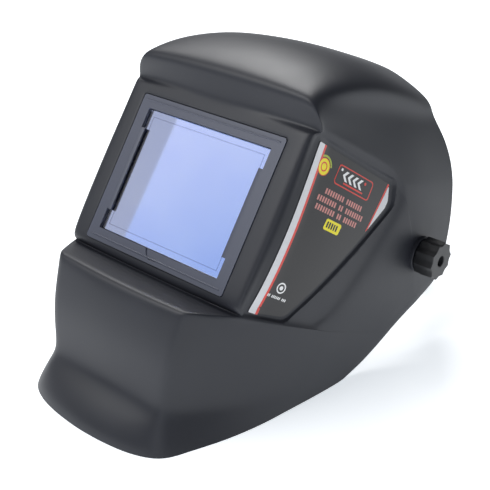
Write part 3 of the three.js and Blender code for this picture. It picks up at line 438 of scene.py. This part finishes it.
# Each row: the centre line, the corner's half-width and place, how far the corner's neighbours stand from
# it, and where the row ends on the rear edge.
ROWS = {
    "rim": ((-104.8, over(0)), 64.5, (-90, over(0)), 17, (53, over(0))),
    "rim_roll": ((-103.5, over(7)), 62, (-89, over(6.5)), 16, (58, over(1.3))),
    "flare": ((-93, over(19)), 57, (-83.5, over(19)), 12, (66, over(3.5))),
    "flare_top": ((-80.5, over(27.5)), 54, (-78, over(27.5)), 9, (75, over(6))),
    "chin_low": ((-78, over(42)), 55.5, (-76.5, over(42)), 8, (83, over(9))),
    "chin": (from_foot(-40.1, -27.3), 58, from_foot(-37.1, -27.3), 7, (92, over(12.5))),
    "chin_top": (from_foot(-31.6, -2.3), 59.5, from_foot(-27.6, -2.8), 5, (99, over(15.5))),
    "shelf_edge": (from_foot(-27.6, 5.2), 60.5, from_foot(-24.6, 4.9), 4, (103, over(17.3))),
    "shelf_front": (from_foot(-21.1, 3.7), 64, from_foot(-18.6, 3.2), 4, (105, over(18))),
    "shelf_back": (from_foot(-2.1, -1.8), BOX_X - 2.5, from_foot(2.4, -3.5), 4, (107, over(19))),
    "valley": (from_foot(4.4, -4.3), BOX_X - 0.5, from_foot(7.4, -5.5), 5, (109, over(20))),
    "box_foot": (on_window(BOX_FOOT), BOX_X, from_foot(2.1, -0.5), 9, (112, over(21))),
    "window_foot": (FACE_FOOT, BOX_X, FACE_FOOT, 12, (118, over(23.5))),
    "window": (on_window(0), BOX_X, on_window(0), 12, (126, over(26.5))),
    "window_head": (FACE_HEAD, BOX_X, FACE_HEAD, 12, (134, over(29))),
    "box_head": (on_window(BOX_HEAD), BOX_X, on_window(BOX_HEAD), 9, (138, over(30))),
    "brow_foot": (from_head(1.2, 3.9), BOX_X + 4.5, from_head(8.3, -4.1), 6, (141, over(31))),
    "brow_face": (from_head(2.9, 15.9), BOX_X + 2.5, from_head(4.8, 8.4), 7, (144, over(32))),
    "brow": (from_head(3.8, 21.9), BOX_X - 5.5, from_head(3.8, 18.4), 8, (147, over(32.6))),
    "brow_back": (from_head(12.3, 25.9), BOX_X - 4, from_head(12.3, 19.9), 12, (151, over(33.6))),
    "dome_front": (from_head(34.3, 30.9), BOX_X, from_head(33.3, 19.9), 18, (156, over(34.8))),
    "dome": (from_head(66.3, 29.9), BOX_X + 3, from_head(65.3, 14.4), 24, (161, over(36.2))),
    "dome_rear": (from_head(102.3, 17.9), BOX_X + 4, from_head(100.3, 1.4), 28, (167, over(39))),
    "arch_in": (from_head(134.3, 4.4), BOX_X + 2, from_head(134.3, -14.6), 30, (172, over(45))),
    "arch": (from_head(140.3, 1.9), BOX_X + 1, from_head(140.8, -18.1), 30, (174, over(50))),
}
ROW_NAMES = list(ROWS)
SIDE_COLUMNS = 11
HOOD_PLAN = [(-80, -28), (-60, -16.5), (-45, -7), (-24, 3.5), (-3, 10.5),
             (33, 18), (75, 23), (116, 26), (140, 27.5), (190, 26)]
WIDEST_UP = -82
PANEL = {"front_foot": (10, BOX_FOOT + 3), "front_head": (10, BOX_HEAD + 1),
         "rear_head": (117, BOX_HEAD + 4.5), "rear_foot": (76, BOX_FOOT + 12.5)}
PANEL_ALONG = {5: 0, 6: 0.4, 7: 0.76, 8: 1}
PANEL_UP = {"valley": 0, "box_foot": 0.07, "window_foot": 0.2,
            "window": 0.5, "window_head": 0.9, "box_head": 1}
PANEL_ROUND = 0.1
STEP_RUN = 3.6
ARCH_EDGE = [(181, 22), (186, 10), (190, -2), (191.5, -16),
             (190.5, -28), (189, -36), (183.5, -62), (174, -90)]
ARCH_RISE = [0, 0.07, 0.15, 0.26, 0.45, 0.66, 0.85, 0.96, 1]
SIDE_SHARE = [0.12, 0.25, 0.38, 0.5, 0.6, 0.65, 0.82, 1]


def mix(a, b, share):
    return a + (b - a) * share


def mix_point(p, q, share):
    return tuple(mix(a, b, share) for a, b in zip(p, q))


def clamp(value, low=0.0, high=1.0):
    return max(low, min(high, value))


def curve(knots, at):
    """A smooth curve through (at, value) pairs, level beyond its ends."""
    if at <= knots[0][0]:
        return knots[0][1]
    if at >= knots[-1][0]:
        return knots[-1][1]
    i = next(n for n, knot in enumerate(knots) if knot[0] > at) - 1
    run = knots[i + 1][0] - knots[i][0]
    t = (at - knots[i][0]) / run

    def slope(j):
        (x0, y0), (x1, y1) = knots[max(j - 1, 0)], knots[min(j + 1, len(knots) - 1)]
        return (y1 - y0) / (x1 - x0)

    return ((2 * t ** 3 - 3 * t ** 2 + 1) * knots[i][1] + (t ** 3 - 2 * t ** 2 + t) * run * slope(i)
            + (3 * t ** 2 - 2 * t ** 3) * knots[i + 1][1] + (t ** 3 - t ** 2) * run * slope(i + 1))


def hood_half_width(back, up):
    """The side leans in above its widest level, more towards the rear."""
    high = clamp((up - 40) / 30)
    lean = mix(mix(0.00112, 0.00094, high), 0.00235, clamp((back - 47) / 140))
    return BOX_X + curve(HOOD_PLAN, back) - lean * max(0, up - WIDEST_UP) ** 2


def panel_node(column, row):
    """A point of the panel's inner outline or field, with the rear corners rounded."""
    along, up = PANEL_ALONG[column], PANEL_UP[row]
    if column == 8 and up in (0, 1):
        along -= PANEL_ROUND
        up -= PANEL_ROUND * 0.6 * up
    foot = mix_point(PANEL["front_foot"], PANEL["rear_foot"], along)
    head = mix_point(PANEL["front_head"], PANEL["rear_head"], along)
    return mix_point(foot, head, up)


def side_point(row, column):
    """Back and up of a side node, columns 4 to 11."""
    index = ROW_NAMES.index(row)
    _, _, corner, gap, end = ROWS[row]
    brow_foot, arch = ROW_NAMES.index("brow_foot"), ROW_NAMES.index("arch")
    if index <= ROW_NAMES.index("shelf_front"):
        straight = mix_point(corner, end, SIDE_SHARE[column - 4])
        if row == "shelf_front" and 4 < column < 10:
            return mix_point(straight, side_point("shelf_back", column), 0.55)
        return straight
    if column == 11:
        return end
    if index <= brow_foot:
        step = {"shelf_back": -STEP_RUN, "brow_foot": STEP_RUN}.get(row, 0)
        inside = {"shelf_back": "valley", "brow_foot": "box_head"}.get(row, row)

        def at(c):
            back, up = panel_node(min(c, 8), inside)
            return from_window(back + (STEP_RUN * 1.2 if c == 9 else 0), up + step)

        if column == 4:
            among = ROW_NAMES.index("valley") < index < brow_foot
            return mix_point(corner, at(5), 0.62 if among else 0.5)
        if column == 10:
            return mix_point(at(9), end, 0.5)
        return at(column)
    if column == 4 and row != "arch":
        share = (index - brow_foot) / (arch - brow_foot)
        return mix_point(corner, side_point(row, 5), clamp(gap / 60 + 0.2 * share, 0, 0.6))
    return mix_point(side_point("brow_foot", column), ARCH_EDGE[column - 4], ARCH_RISE[index - brow_foot])


def net_point(row, column):
    """One control point: across, back and up."""
    centre, corner_x, corner, gap, _ = ROWS[row]
    if column <= 3:
        x = [0, corner_x * 0.45, corner_x - gap, corner_x][column]
        share = 1 if column == 3 else (x / corner_x) ** 2 * 0.8
        return (x, *mix_point(centre, corner, share))
    back, up = side_point(row, column)
    if row == "arch" or (ROW_NAMES.index(row) > ROW_NAMES.index("brow") and column == 4):
        drop = max(0, corner[1] - up)
        return min(hood_half_width(back, up), corner_x + drop * 0.55), back, up
    flare = {"rim": 1, "rim_roll": 0.8, "flare": 0.35}.get(row, 0)
    flare *= curve([(-90, 15), (-64, 14), (-35, 7), (-3, 1.5), (33, 0)], back)
    inset = LABEL_STEP if row in PANEL_UP and column <= 8 else 0
    return hood_half_width(back, up) + flare - inset, back, up


def shell_cage():
    """The net over both halves of the shell."""
    bm = bmesh.new()
    rows = len(ROWS) - 1
    bmesh.ops.create_grid(bm, x_segments=2 * SIDE_COLUMNS, y_segments=rows, size=0.5)
    for v in bm.verts:
        column = round(v.co.x * 2 * SIDE_COLUMNS)
        row = ROW_NAMES[round((v.co.y + 0.5) * rows)]
        x, back, up = net_point(row, abs(column))
        v.co = WINDOW + Vector((math.copysign(x, column), back, up)) * MM
    return bm


# ---- Patches on the side panels ------------------------------------------------------------------------
# Drawn in millimetres from the window's centre: back from the window's plane and up along it.

SMOOTH = ("SUBSURF", {"levels": 3, "render_levels": 3})
SKIN = BVHTree.FromBMesh(modified(shell_cage(), [SMOOTH]))
OUTSIDE = 200  # from the middle, beyond the shell's side
RECESS_DEPTH = 1.5
RECESS_RAMP = (9, 24)  # the recess deepens between these, so that it has no step at the front
RECESS_CORNERS = [(9, -60, 1), (43, -55.5, 10), (105, 47.5, 12), (100, 65.5, 5), (9, 65.5, 1)]
RECESS_WALL = [(2.6, -1), (2.1, -0.93), (1.5, -0.68), (0.9, -0.3), (0.4, -0.1)]  # inset, share of the depth
CUT_OVER = 6  # how far a recess cutter stands out of the skin
INWARD = tuple(1 - k / 12 for k in range(1, 13))


def rounded_outline(corners, spacing=3.0):
    """The outline through (back, up, radius) corners, with points at most a spacing apart."""
    points = []
    for i, (*corner, radius) in enumerate(corners):
        corner = Vector(corner)
        ways = [(Vector(corners[(i + k) % len(corners)][:2]) - corner).normalized() for k in (-1, 1)]
        half = ways[0].angle(ways[1]) / 2
        centre = corner + (ways[0] + ways[1]).normalized() * (radius / math.sin(half))
        spokes = [corner + way * (radius / math.tan(half)) - centre for way in ways]
        points += [centre + spokes[0].lerp(spokes[1], k / 4).normalized() * radius for k in range(5)]
    dense = []
    for a, b in zip(points, points[1:] + points[:1]):
        count = max(1, math.ceil((b - a).length / spacing))
        dense += [a.lerp(b, k / count) for k in range(count)]
    return dense


def on_circle(back, up, radius, angle):
    """A point on a circle, by its angle from straight back."""
    return Vector((back + radius * math.cos(angle), up + radius * math.sin(angle)))


def disc(back, up, radius, count=20):
    """The outline of a round mark."""
    return [on_circle(back, up, radius, k * math.tau / count) for k in range(count)]


def on_skin(side, point, height):
    """The place so far out of the skin without its recess, or into it where height is below zero."""
    back, up = from_window(*point)
    start = WINDOW + Vector((side * OUTSIDE, back, up)) * MM
    place, normal, _, _ = SKIN.ray_cast(start, Vector((-side, 0, 0)))
    return place + normal * (height * MM * math.copysign(1, normal.x * side))


def floor_depth(back):
    """How deep the recess is so far back."""
    share = clamp((back - RECESS_RAMP[0]) / (RECESS_RAMP[1] - RECESS_RAMP[0]))
    return RECESS_DEPTH * share * share * (3 - 2 * share)


def patch(side, outline, steps):
    """A solid over an outline, in rings. A step is a ring's share of the outline, inset and height rule."""
    centre = sum(outline, Vector((0, 0))) / len(outline)

    def place(i, share, inset, height):
        spoke = outline[i] - centre
        point = centre + spoke * share - spoke.normalized() * inset
        return on_skin(side, point, height(point.x))

    return rings(len(outline), steps, place)


def recess_cutter(side):
    """What the panel's recess takes away: a level floor with a rounded wall up to the skin."""
    def floor(back):
        return -floor_depth(back)

    def top(back):
        return CUT_OVER

    steps = [(0, 0, floor)] + [(share, RECESS_WALL[0][0], floor) for share in reversed(INWARD) if share > 0]
    steps += [(1, inset, lambda back, part=part: part * floor_depth(back)) for inset, part in RECESS_WALL]
    steps += [(1, 0, lambda back: 0.05), (1, 0, top)]
    steps += [(share, 0, top) for share in INWARD]
    return patch(side, rounded_outline(RECESS_CORNERS), steps)


# ---- Shell ---------------------------------------------------------------------------------------------

SEAT_DEPTH = 0.0018
BOSS_RADIUS = 0.0135
SPOT_RADIUS = 0.016  # of the flat inside for the friction washer
BOSS_FACES = (0.102, 0.1076)  # inner and outer, from the middle
STUD_HOLE = 0.00335
BORE_OVER = 0.012  # how far a bore's cutter runs in past the boss
LUG_RADIUS = 0.003
LUG_FACES = (0.099, 0.1034)
LUG_REACH = 0.026  # from the tilt axis
STOP_TURN = math.radians(100)  # the stop's arm at rest, up from the rear
STOP_HALF_WIDTH = 0.004
TILT_DOWN = math.radians(36)  # from rest until the mask is right down
LUG_GAP = math.radians(1.5)  # left between lug and stop there
LUG_TURN = STOP_TURN - TILT_DOWN - (STOP_HALF_WIDTH + LUG_RADIUS) / LUG_REACH - LUG_GAP
FLANGE_OVER = (0.0104, 0.0114)  # how much wider and taller the seat is than the hole through it
HOLE_DEPTH = 0.014
EDGE_DEPTH, EDGE_RUN = 0.0007, 0.0014  # of the rounding at the seat's mouth, the run over both sides


def shell_additions():
    """The pivot bosses and the stop lugs."""
    parts = []
    for side in (-1, 1):
        low, high = BOSS_FACES
        boss = turned([(low, 0), (low, BOSS_RADIUS), (high - 0.0004, BOSS_RADIUS),
                       (high, BOSS_RADIUS - 0.0004), (high, 0)], 72)
        low, high = LUG_FACES
        lug = turned([(low, 0), (low, LUG_RADIUS), (high, LUG_RADIUS), (high, 0)], 24)
        reach = Vector((0, math.cos(LUG_TURN), math.sin(LUG_TURN))) * LUG_REACH
        parts.append(placed(boss, side_place(side)))
        parts.append(placed(lug, Matrix.Translation(reach) @ side_place(side)))
    return joined(*parts)


def seat_cutter():
    """The frame's stepped seat, its mouth rounded in three steps of a quarter turn."""
    bm = bmesh.new()
    width, height = [size + 2 * FRAME_GAP for size in FRAME_SIZE]
    face = rounded_plate(bm, width - FLANGE_OVER[0], height - FLANGE_OVER[1], 0.002)
    bmesh.ops.translate(bm, vec=(0, 0, -HOLE_DEPTH), verts=bm.verts)
    face = push(bm, face, HOLE_DEPTH - SEAT_DEPTH)
    face = push(bm, face, 0, FLANGE_OVER)
    face = push(bm, face, SEAT_DEPTH - EDGE_DEPTH)
    for turn in (30, 60, 90):
        before, angle = math.radians(turn - 30), math.radians(turn)
        out = EDGE_RUN * (math.cos(before) - math.cos(angle))
        face = push(bm, face, EDGE_DEPTH * (math.sin(angle) - math.sin(before)), (out, out))
    push(bm, face, 0.006)
    bmesh.ops.recalc_face_normals(bm, faces=bm.faces)
    return placed(bm, WINDOW_PLACE)


def shell_cutters():
    """The stud holes and spot-faces, the side recesses, the window's seat and the ground."""
    parts = []
    for side in (-1, 1):
        inner, outer = BOSS_FACES[0], BOSS_FACES[0] + 0.02
        bore = turned([(inner - BORE_OVER, 0), (inner - BORE_OVER, SPOT_RADIUS), (inner, SPOT_RADIUS),
                       (inner, STUD_HOLE), (outer, STUD_HOLE), (outer, 0)], 48)
        parts.append(placed(bore, side_place(side)))
        parts.append(recess_cutter(side))
    parts.append(seat_cutter())
    ground = bmesh.new()
    bmesh.ops.create_cube(ground, size=1)
    parts.append(placed(ground, Matrix.Translation((0, 0, -0.5))))
    return joined(*parts)


def make_shell():
    """The net smoothed, given its wall, and joined with its bosses before the seat and holes are cut."""
    adders, cutters = work_object(shell_additions()), work_object(shell_cutters())
    rounded = {"limit_method": "ANGLE", "angle_limit": math.radians(50), "width": 0.0007, "segments": 3}
    shell = modified(shell_cage(), [
        SMOOTH,
        ("SOLIDIFY", {"thickness": WALL, "offset": -1}),
        ("BEVEL", rounded),
        ("BOOLEAN", {"operation": "UNION", "object": adders, "solver": "EXACT"}),
        ("BOOLEAN", {"operation": "DIFFERENCE", "object": cutters, "solver": "EXACT"}),
    ])
    for tool in (adders, cutters):
        bpy.data.objects.remove(tool)
    finished("shell_moulding", shell, SHELL_PLASTIC, "mask", "shell_plastic", ["shell"])


make_shell()

# ---- Labels --------------------------------------------------------------------------------------------
# A printed film in each side panel. The print is generic: stripes, badges, a framed sign and rows of ticks.

INKS = [BLACK_FILM, SILVER_INK, RED_INK, YELLOW_INK, PINK_INK, WHITE_INK, LEAF_INK]
BLACK, SILVER, RED, YELLOW, PINK, WHITE, LEAF = range(len(INKS))
FILM = (0.05, 0.45)  # underside and face, over the recess's floor
INK_STEP = 0.035  # from one layer of ink to the next
FILM_CORNERS = [(11, -56.8, 0.8), (41, -51.5, 7), (99, 46, 8), (94.5, 60.4, 2), (11.4, 61.4, 0.8)]
LONG_OUTLINE = 40  # points, over which a layer needs all its rings to follow the skin
STRIPE_FOOT, STRIPE_HEAD = -56.3, 61.1
TICK_SHARE = 0.62  # of the pitch from one tick to the next


def sloped(left, right, foot, head, radius, slant=0.1):
    """A bar between two lines of the label, its ends leaning back by the slant."""
    lean = slant * (head - foot)
    return rounded_outline([(left, foot, radius), (right, foot, radius), (right + lean, head, radius),
                            (left + lean, head, radius)])


def ticks(left, right, foot, head, pitch, gaps=()):
    """A row of short upright ticks with some left out."""
    count = int((right - left) / pitch)
    return [sloped(left + k * pitch, left + (k + TICK_SHARE) * pitch, foot, head, 0.25)
            for k in range(count) if k not in gaps]


def dashed_arc(back, up, inner, outer, turns, length=13):
    """The short strips of an arc round a badge. Turns and length are in degrees."""
    return [[on_circle(back, up, radius, math.radians(angle)) for angle, radius in
             [(start, inner), (start, outer), (start + length, outer), (start + length, inner)]]
            for start in turns]


def chevron(back, up, size, thick):
    """Two bars that meet in a point towards the front."""
    return [rounded_outline([(back, up, 0.1), (back + size, up + way * size, 0.1),
                             (back + size + thick, up + way * size, 0.1), (back + thick, up, 0.1)])
            for way in (-1, 1)]


# (ink, layer over the film, outlines)
PRINT = [
    (SILVER, 1, [rounded_outline([(11.1, STRIPE_FOOT - 0.2, 0.7), (17, STRIPE_FOOT, 0.1),
                                  (17.6, STRIPE_HEAD, 0.1), (11.5, STRIPE_HEAD, 0.7)])]),
    (RED, 1, [rounded_outline([(17, STRIPE_FOOT, 0.1), (19.1, STRIPE_FOOT + 0.2, 0.1),
                               (19.8, STRIPE_HEAD, 0.1), (17.6, STRIPE_HEAD, 0.1)])]),
    (RED, 1, [rounded_outline([(83.5, 22.4, 0.1), (85.3, 24.6, 0.1), (94.3, 60, 0.3), (92.6, 60, 0.3)])]),
    (SILVER, 1, [rounded_outline([(85.3, 24.6, 0.1), (96.5, 43.6, 3), (97.6, 49, 3), (94.3, 59.5, 0.5)])]),
    (RED, 2, [disc(23.5, 48.2, 5.9), sloped(36.3, 75.6, 41.8, 55.6, 2.4, 0.14)]),
    (YELLOW, 3, [disc(23.5, 48.2, 5.4), sloped(40.6, 56.6, 11.5, 19.2, 1.4, 0.18)]),
    (LEAF, 3, dashed_arc(23.5, 48.2, 6.3, 7.7, range(12, 115, 14))),
    (BLACK, 3, [sloped(37.1, 74.8, 42.6, 54.8, 1.8, 0.14)]),
    (RED, 4, [disc(23.5, 48.2, 3.2), disc(68.5, 51.6, 1.1),
              sloped(46, 68, 44.2, 45.3, 0.3, 0.14)]),
    (YELLOW, 5, [disc(23.5, 48.2, 2.3)]),
    (BLACK, 4, ticks(42.9, 55.6, 13.3, 17.5, 2.4)),
    (WHITE, 4, [bar for back in (43.5, 49, 54.5, 60) for bar in chevron(back, 49.6, 3.4, 2.6)]
     + [disc(41.6, 52.6, 1.0)]),
    (PINK, 2, ticks(32, 74, 33.1, 36.9, 2.55, (8,)) + ticks(26.6, 78, 27.2, 31, 2.5, (8, 11))
     + ticks(27.4, 74, 21.4, 25.2, 2.5, (8, 11))),
    (WHITE, 2, [disc(27.4, -34.8, 3.8)]
     + ticks(19, 36.6, -42.6, -40.7, 1.3, (2, 9))),
    (BLACK, 3, [disc(27.4, -34.8, 2.8)]),
    (WHITE, 4, [disc(27.4, -34.8, 1.5)]),
]


def film(side, outline, low, high, ink):
    """A thin layer over the recess's floor."""
    def at(height):
        return lambda back: height - floor_depth(back)

    inwards = [1, *INWARD] if len(outline) > LONG_OUTLINE else [1, 0.5, 0]
    steps = [(share, 0, at(low)) for share in reversed(inwards)]
    steps += [(share, 0, at(high)) for share in inwards]
    bm = patch(side, outline, steps)
    for face in bm.faces:
        face.material_index = ink
    return bm


def make_label(name, side):
    """The film with every layer of its print."""
    layers = [film(side, rounded_outline(FILM_CORNERS, 2.2), *FILM, BLACK)]
    for ink, layer, outlines in PRINT:
        top = FILM[1] + layer * INK_STEP
        layers += [film(side, outline, top - INK_STEP, top, ink) for outline in outlines]
    label = finished(name + "_film", joined(*layers), BLACK_FILM, "mask", "sticker", [name])
    for ink in INKS[1:]:
        label.data.materials.append(ink)


make_label("label_left", 1)
make_label("label_right", -1)

# ---- Window: frame and plates --------------------------------------------------------------------------


def packed_copy(node):
    """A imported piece's mesh with its loose triangles merged."""
    bm = bmesh.new()
    bm.from_mesh(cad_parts[node].data)
    bmesh.ops.remove_doubles(bm, verts=bm.verts, dist=1e-6)
    return bm


def softened_copy(node, width):
    """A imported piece's mesh with its flats made whole and its edges rounded."""
    bm = packed_copy(node)
    bmesh.ops.dissolve_limit(bm, angle_limit=math.radians(0.6), verts=bm.verts, edges=bm.edges)
    soften(bm, width)
    return bm


def frame_beads():
    """Two fine ridges across the frame's face, near its top and bottom edges."""
    beads = []
    for way in (-1, 1):
        bead = bmesh.new()
        face = rounded_plate(bead, 0.121, 0.0011, 0.0005)
        face = push(bead, face, 0.0009)
        push(bead, face, 0.0003, (-0.0005, -0.0005))
        bmesh.ops.recalc_face_normals(bead, faces=bead.faces)
        shift = Matrix.Translation((0, way * (FRAME_SIZE[1] / 2 - 0.0035), -0.0008))
        beads.append(placed(bead, WINDOW_PLACE @ shift))
    return joined(*beads)


def finished_copy(bm, node, material, slot, body):
    """Shows a copy's mesh. The rounding's own edges stay sharp, so that the flats stay flat."""
    finished(node + "_finished", bm, material, body, slot, [node], math.radians(20))


finished_copy(joined(softened_copy("lens_frame", 0.0004), frame_beads()),
              "lens_frame", FRAME_PLASTIC, "frame_plastic", "mask")

# (node, edge radius, material, slot, body)
FINISHED = [
    ("cover_plate", 0.0003, CLEAR, "clear_plate", "mask"),
    ("filter_plate", 0.0003, FILTER_GLASS, "filter_glass", "mask"),
    ("inner_cover_plate", 0.0003, CLEAR, "clear_plate", "mask"),
    ("friction_washer_left", 0.0003, RUBBER, "washer_rubber", "mask"),
    ("friction_washer_right", 0.0003, RUBBER, "washer_rubber", "mask"),
    ("knob_nut_left", 0.0003, TURNED_BRASS, "brass", "side_knob_left"),
    ("knob_nut_right", 0.0003, TURNED_BRASS, "brass", "side_knob_right"),
    ("stud_left", 0.0004, ZINC_STEEL, "steel", "headgear"),
    ("stud_right", 0.0004, ZINC_STEEL, "steel", "headgear"),
    ("tilt_stop_left", 0.0004, BAND_PLASTIC, "band_plastic", "headgear"),
    ("tilt_stop_right", 0.0004, BAND_PLASTIC, "band_plastic", "headgear"),
    ("side_arm_left", 0.0005, BAND_PLASTIC, "band_plastic", "headgear"),
    ("side_arm_right", 0.0005, BAND_PLASTIC, "band_plastic", "headgear"),
    ("front_band", 0.0005, BAND_PLASTIC, "band_plastic", "headgear"),
    ("crown_strap_left", 0.0005, BAND_PLASTIC, "band_plastic", "headgear"),
    ("crown_strap_right", 0.0005, BAND_PLASTIC, "band_plastic", "headgear"),
    ("crown_peg", 0.0005, KNOB_PLASTIC, "knob_plastic", "headgear"),
    ("rear_band_left", 0.0003, BAND_PLASTIC, "band_plastic", "tail_left"),
    ("rear_band_right", 0.0003, BAND_PLASTIC, "band_plastic", "tail_right"),
    ("ratchet_housing", 0.0006, KNOB_PLASTIC, "knob_plastic", "headgear"),
    ("ratchet_cover", 0.0006, KNOB_PLASTIC, "knob_plastic", "headgear"),
    ("ratchet_knob", 0.0004, KNOB_PLASTIC, "knob_plastic", "ratchet_wheel"),
    ("ratchet_pinion", 0.0001, ZINC_STEEL, "steel", "ratchet_wheel"),
    ("retainer_wire", 0.0001, ZINC_STEEL, "steel", "retainer"),
]
for node, width, material, slot, body in FINISHED:
    finished_copy(softened_copy(node, width), node, material, slot, body)


# ---- Knobs ---------------------------------------------------------------------------------------------

def make_side_knob(name, side, body):
    """Ten hollow flutes between ridges, a flat end and a hole through which the stud's end shows."""
    base, end = 0.108, 0.1238
    hole, pocket, pocket_end = 0.004, 0.00665, 0.1158
    radius, flute = 0.0145, 0.0017
    profile = [
        (base, pocket), (base, 0.0118), (base + 0.0004, 0.0122), (base + 0.0008, 0.0124),
        (base + 0.0008, radius - 0.0005, flute), (base + 0.0012, radius - 0.0001, flute),
        (base + 0.0018, radius, flute), (end - 0.0008, radius, flute),
        (end - 0.0003, radius - 0.0002, flute), (end, radius - 0.0007, flute * 0.95),
        (end, hole + 0.0006), (end - 0.0005, hole),
        (pocket_end, hole), (pocket_end, pocket), (base, pocket),
    ]
    bm = placed(turned(profile, 200, 10), side_place(side))
    finished(name + "_lobed", bm, KNOB_PLASTIC, body, "knob_plastic", [name])


make_side_knob("knob_left", 1, "side_knob_left")
make_side_knob("knob_right", -1, "side_knob_right")

# ---- Padded pieces -------------------------------------------------------------------------------------

CLOTH_FRAMES = 20


def puffed(bm, voxel, shrink, travel):
    """A closed shape blown up a little by a cloth simulation, no vertex moving further than the travel."""
    bm = modified(bm, [("REMESH", {"mode": "VOXEL", "voxel_size": voxel}),
                       ("SMOOTH", {"factor": 0.5, "iterations": 4})])
    bm.normal_update()
    for v in bm.verts:
        v.co -= v.normal * shrink
    starts = [v.co.copy() for v in bm.verts]
    work = work_object(bm)
    cloth = work.modifiers.new("cloth", "CLOTH")
    cloth.settings.quality = 6
    cloth.settings.mass = 0.15
    cloth.settings.use_pressure = True
    cloth.settings.uniform_pressure_force = 4.0
    cloth.settings.effector_weights.gravity = 0.0
    cloth.point_cache.frame_start = 1
    cloth.point_cache.frame_end = CLOTH_FRAMES
    for number in range(1, CLOTH_FRAMES + 1):
        scene.frame_set(number)
    result = taken(work)
    scene.frame_set(1)
    for v, start in zip(result.verts, starts):
        moved = v.co - start
        if moved.length > travel:
            v.co = start + moved.normalized() * travel
    return result


def make_padding(node):
    """A packed pad's shape, softened and puffed."""
    bm = puffed(packed_copy(node), 0.0025, 0.0006, 0.0009)
    bm = modified(bm, [("SUBSURF", {"levels": 1, "render_levels": 1})])
    pad = finished(node + "_cloth", bm, PADDING, "headgear", "padding", [node], math.pi)


make_padding("sweatband")
make_padding("nape_pad")

# ---- Floor and light -----------------------------------------------------------------------------------


GLOW_EDGE = -0.064  # where the card's bright part ends, to the left of its middle


def staged_square(name, size, material):
    """A flat square that is shown in the pictures and isn't part of the helmet."""
    bm = bmesh.new()
    bmesh.ops.create_grid(bm, x_segments=1, y_segments=1, size=size)
    mesh = bpy.data.meshes.new(name)
    bm.to_mesh(mesh)
    bm.free()
    mesh.materials.append(material)
    square = bpy.data.objects.new(name, mesh)
    scene.collection.objects.link(square)
    return square


def floor_paint():
    """A near-white floor with a faint cloud of tone."""
    material, tree, shader, place = start_material("painted_studio_floor", Roughness=0.85)
    cloud = add(tree, "ShaderNodeTexNoise", {"Scale": 1.5}, {"Vector": place})
    tone = add(tree, "ShaderNodeMix", {"data_type": "RGBA", 6: linear("#fafafa"), 7: linear("#fdfdfd")},
               {0: cloud.outputs["Fac"]})
    tree.links.new(tone.outputs[2], shader.inputs["Base Color"])
    shader.inputs["Emission Color"].default_value = (0.9, 0.95, 1, 1)
    shader.inputs["Emission Strength"].default_value = 0.66
    return material


def make_light(name, place, target, size, power, colour=(1, 1, 1)):
    """A softbox of light that faces a target."""
    data = bpy.data.lights.new(name, "AREA")
    data.shape = "RECTANGLE"
    data.size, data.size_y = size
    data.energy = power
    data.color = colour
    light = bpy.data.objects.new(name, data)
    scene.collection.objects.link(light)
    light.location = place
    light.rotation_euler = (Vector(place) - Vector(target)).to_track_quat("Z", "Y").to_euler()


def make_world():
    """A dim, slightly blue studio all round."""
    world = bpy.data.worlds.new("studio")
    world.use_nodes = True
    background = world.node_tree.nodes["Background"]
    background.inputs["Color"].default_value = (0.93, 0.96, 1, 1)
    background.inputs["Strength"].default_value = 0.14
    scene.world = world


def window_glow():
    """What the filter mirrors: a softbox, white above and bluer below, and the grey wall left of it."""
    material, tree, shader, place = start_material("window_glow", Roughness=1.0)
    axes = add(tree, "ShaderNodeSeparateXYZ", {}, {0: place})
    fall = add(tree, "ShaderNodeMath", {"operation": "MULTIPLY_ADD", 1: -0.8}, {0: axes.outputs["X"]})
    tree.links.new(axes.outputs["Y"], fall.inputs[2])
    share = add(tree, "ShaderNodeMapRange", {"From Min": 0.16, "From Max": -0.22},
                {"Value": fall.outputs[0]})
    sky = add(tree, "ShaderNodeMix", {"data_type": "RGBA", 6: (1.0, 1.0, 1.0, 1), 7: (0.56, 0.69, 0.86, 1)},
              {0: share.outputs["Result"]})
    slant = add(tree, "ShaderNodeMath", {"operation": "MULTIPLY_ADD", 1: -0.05}, {0: axes.outputs["Y"]})
    tree.links.new(axes.outputs["X"], slant.inputs[2])
    inside = add(tree, "ShaderNodeMath", {"operation": "GREATER_THAN", 1: GLOW_EDGE}, {0: slant.outputs[0]})
    both = add(tree, "ShaderNodeMix", {"data_type": "RGBA", 6: (0.66, 0.65, 0.6, 1)},
               {0: inside.outputs[0], 7: sky.outputs[2]})
    tree.links.new(both.outputs[2], shader.inputs["Emission Color"])
    shader.inputs["Emission Strength"].default_value = 1.08
    shader.inputs["Base Color"].default_value = (0, 0, 0, 1)
    return material


def make_reflector():
    """A glowing card that stands where the filter mirrors it to the camera, out of the camera's sight."""
    normal = WINDOW_PLACE.to_3x3() @ Vector((0, 0, 1))
    to_eye = (camera.location - WINDOW).normalized()
    mirrored = (2 * normal.dot(to_eye) * normal - to_eye).normalized()
    card = staged_square("window_card", 0.32, window_glow())
    across = (Vector((1, 0, 0)) - mirrored.x * mirrored).normalized()
    card.matrix_world = Matrix.Translation(WINDOW + mirrored * 1.2) @ Matrix(
        (across, mirrored.cross(across), mirrored)).transposed().to_4x4()
    card.visible_camera = False
    card.visible_shadow = False


staged_square("floor", 40, floor_paint())
make_world()
make_reflector()
make_light("key", (-0.9, -1.3, 1.9), (0, 0, 0.1), (1.2, 1.2), 28)
make_light("top", (-1.0, 1.0, 1.7), (0, 0, 0.15), (1.0, 0.9), 29)
make_light("front_right", (1.1, -1.5, 0.8), (0, 0, 0.1), (0.6, 0.8), 4.5, (0.88, 0.93, 1))
scene.view_settings.view_transform = "Standard"
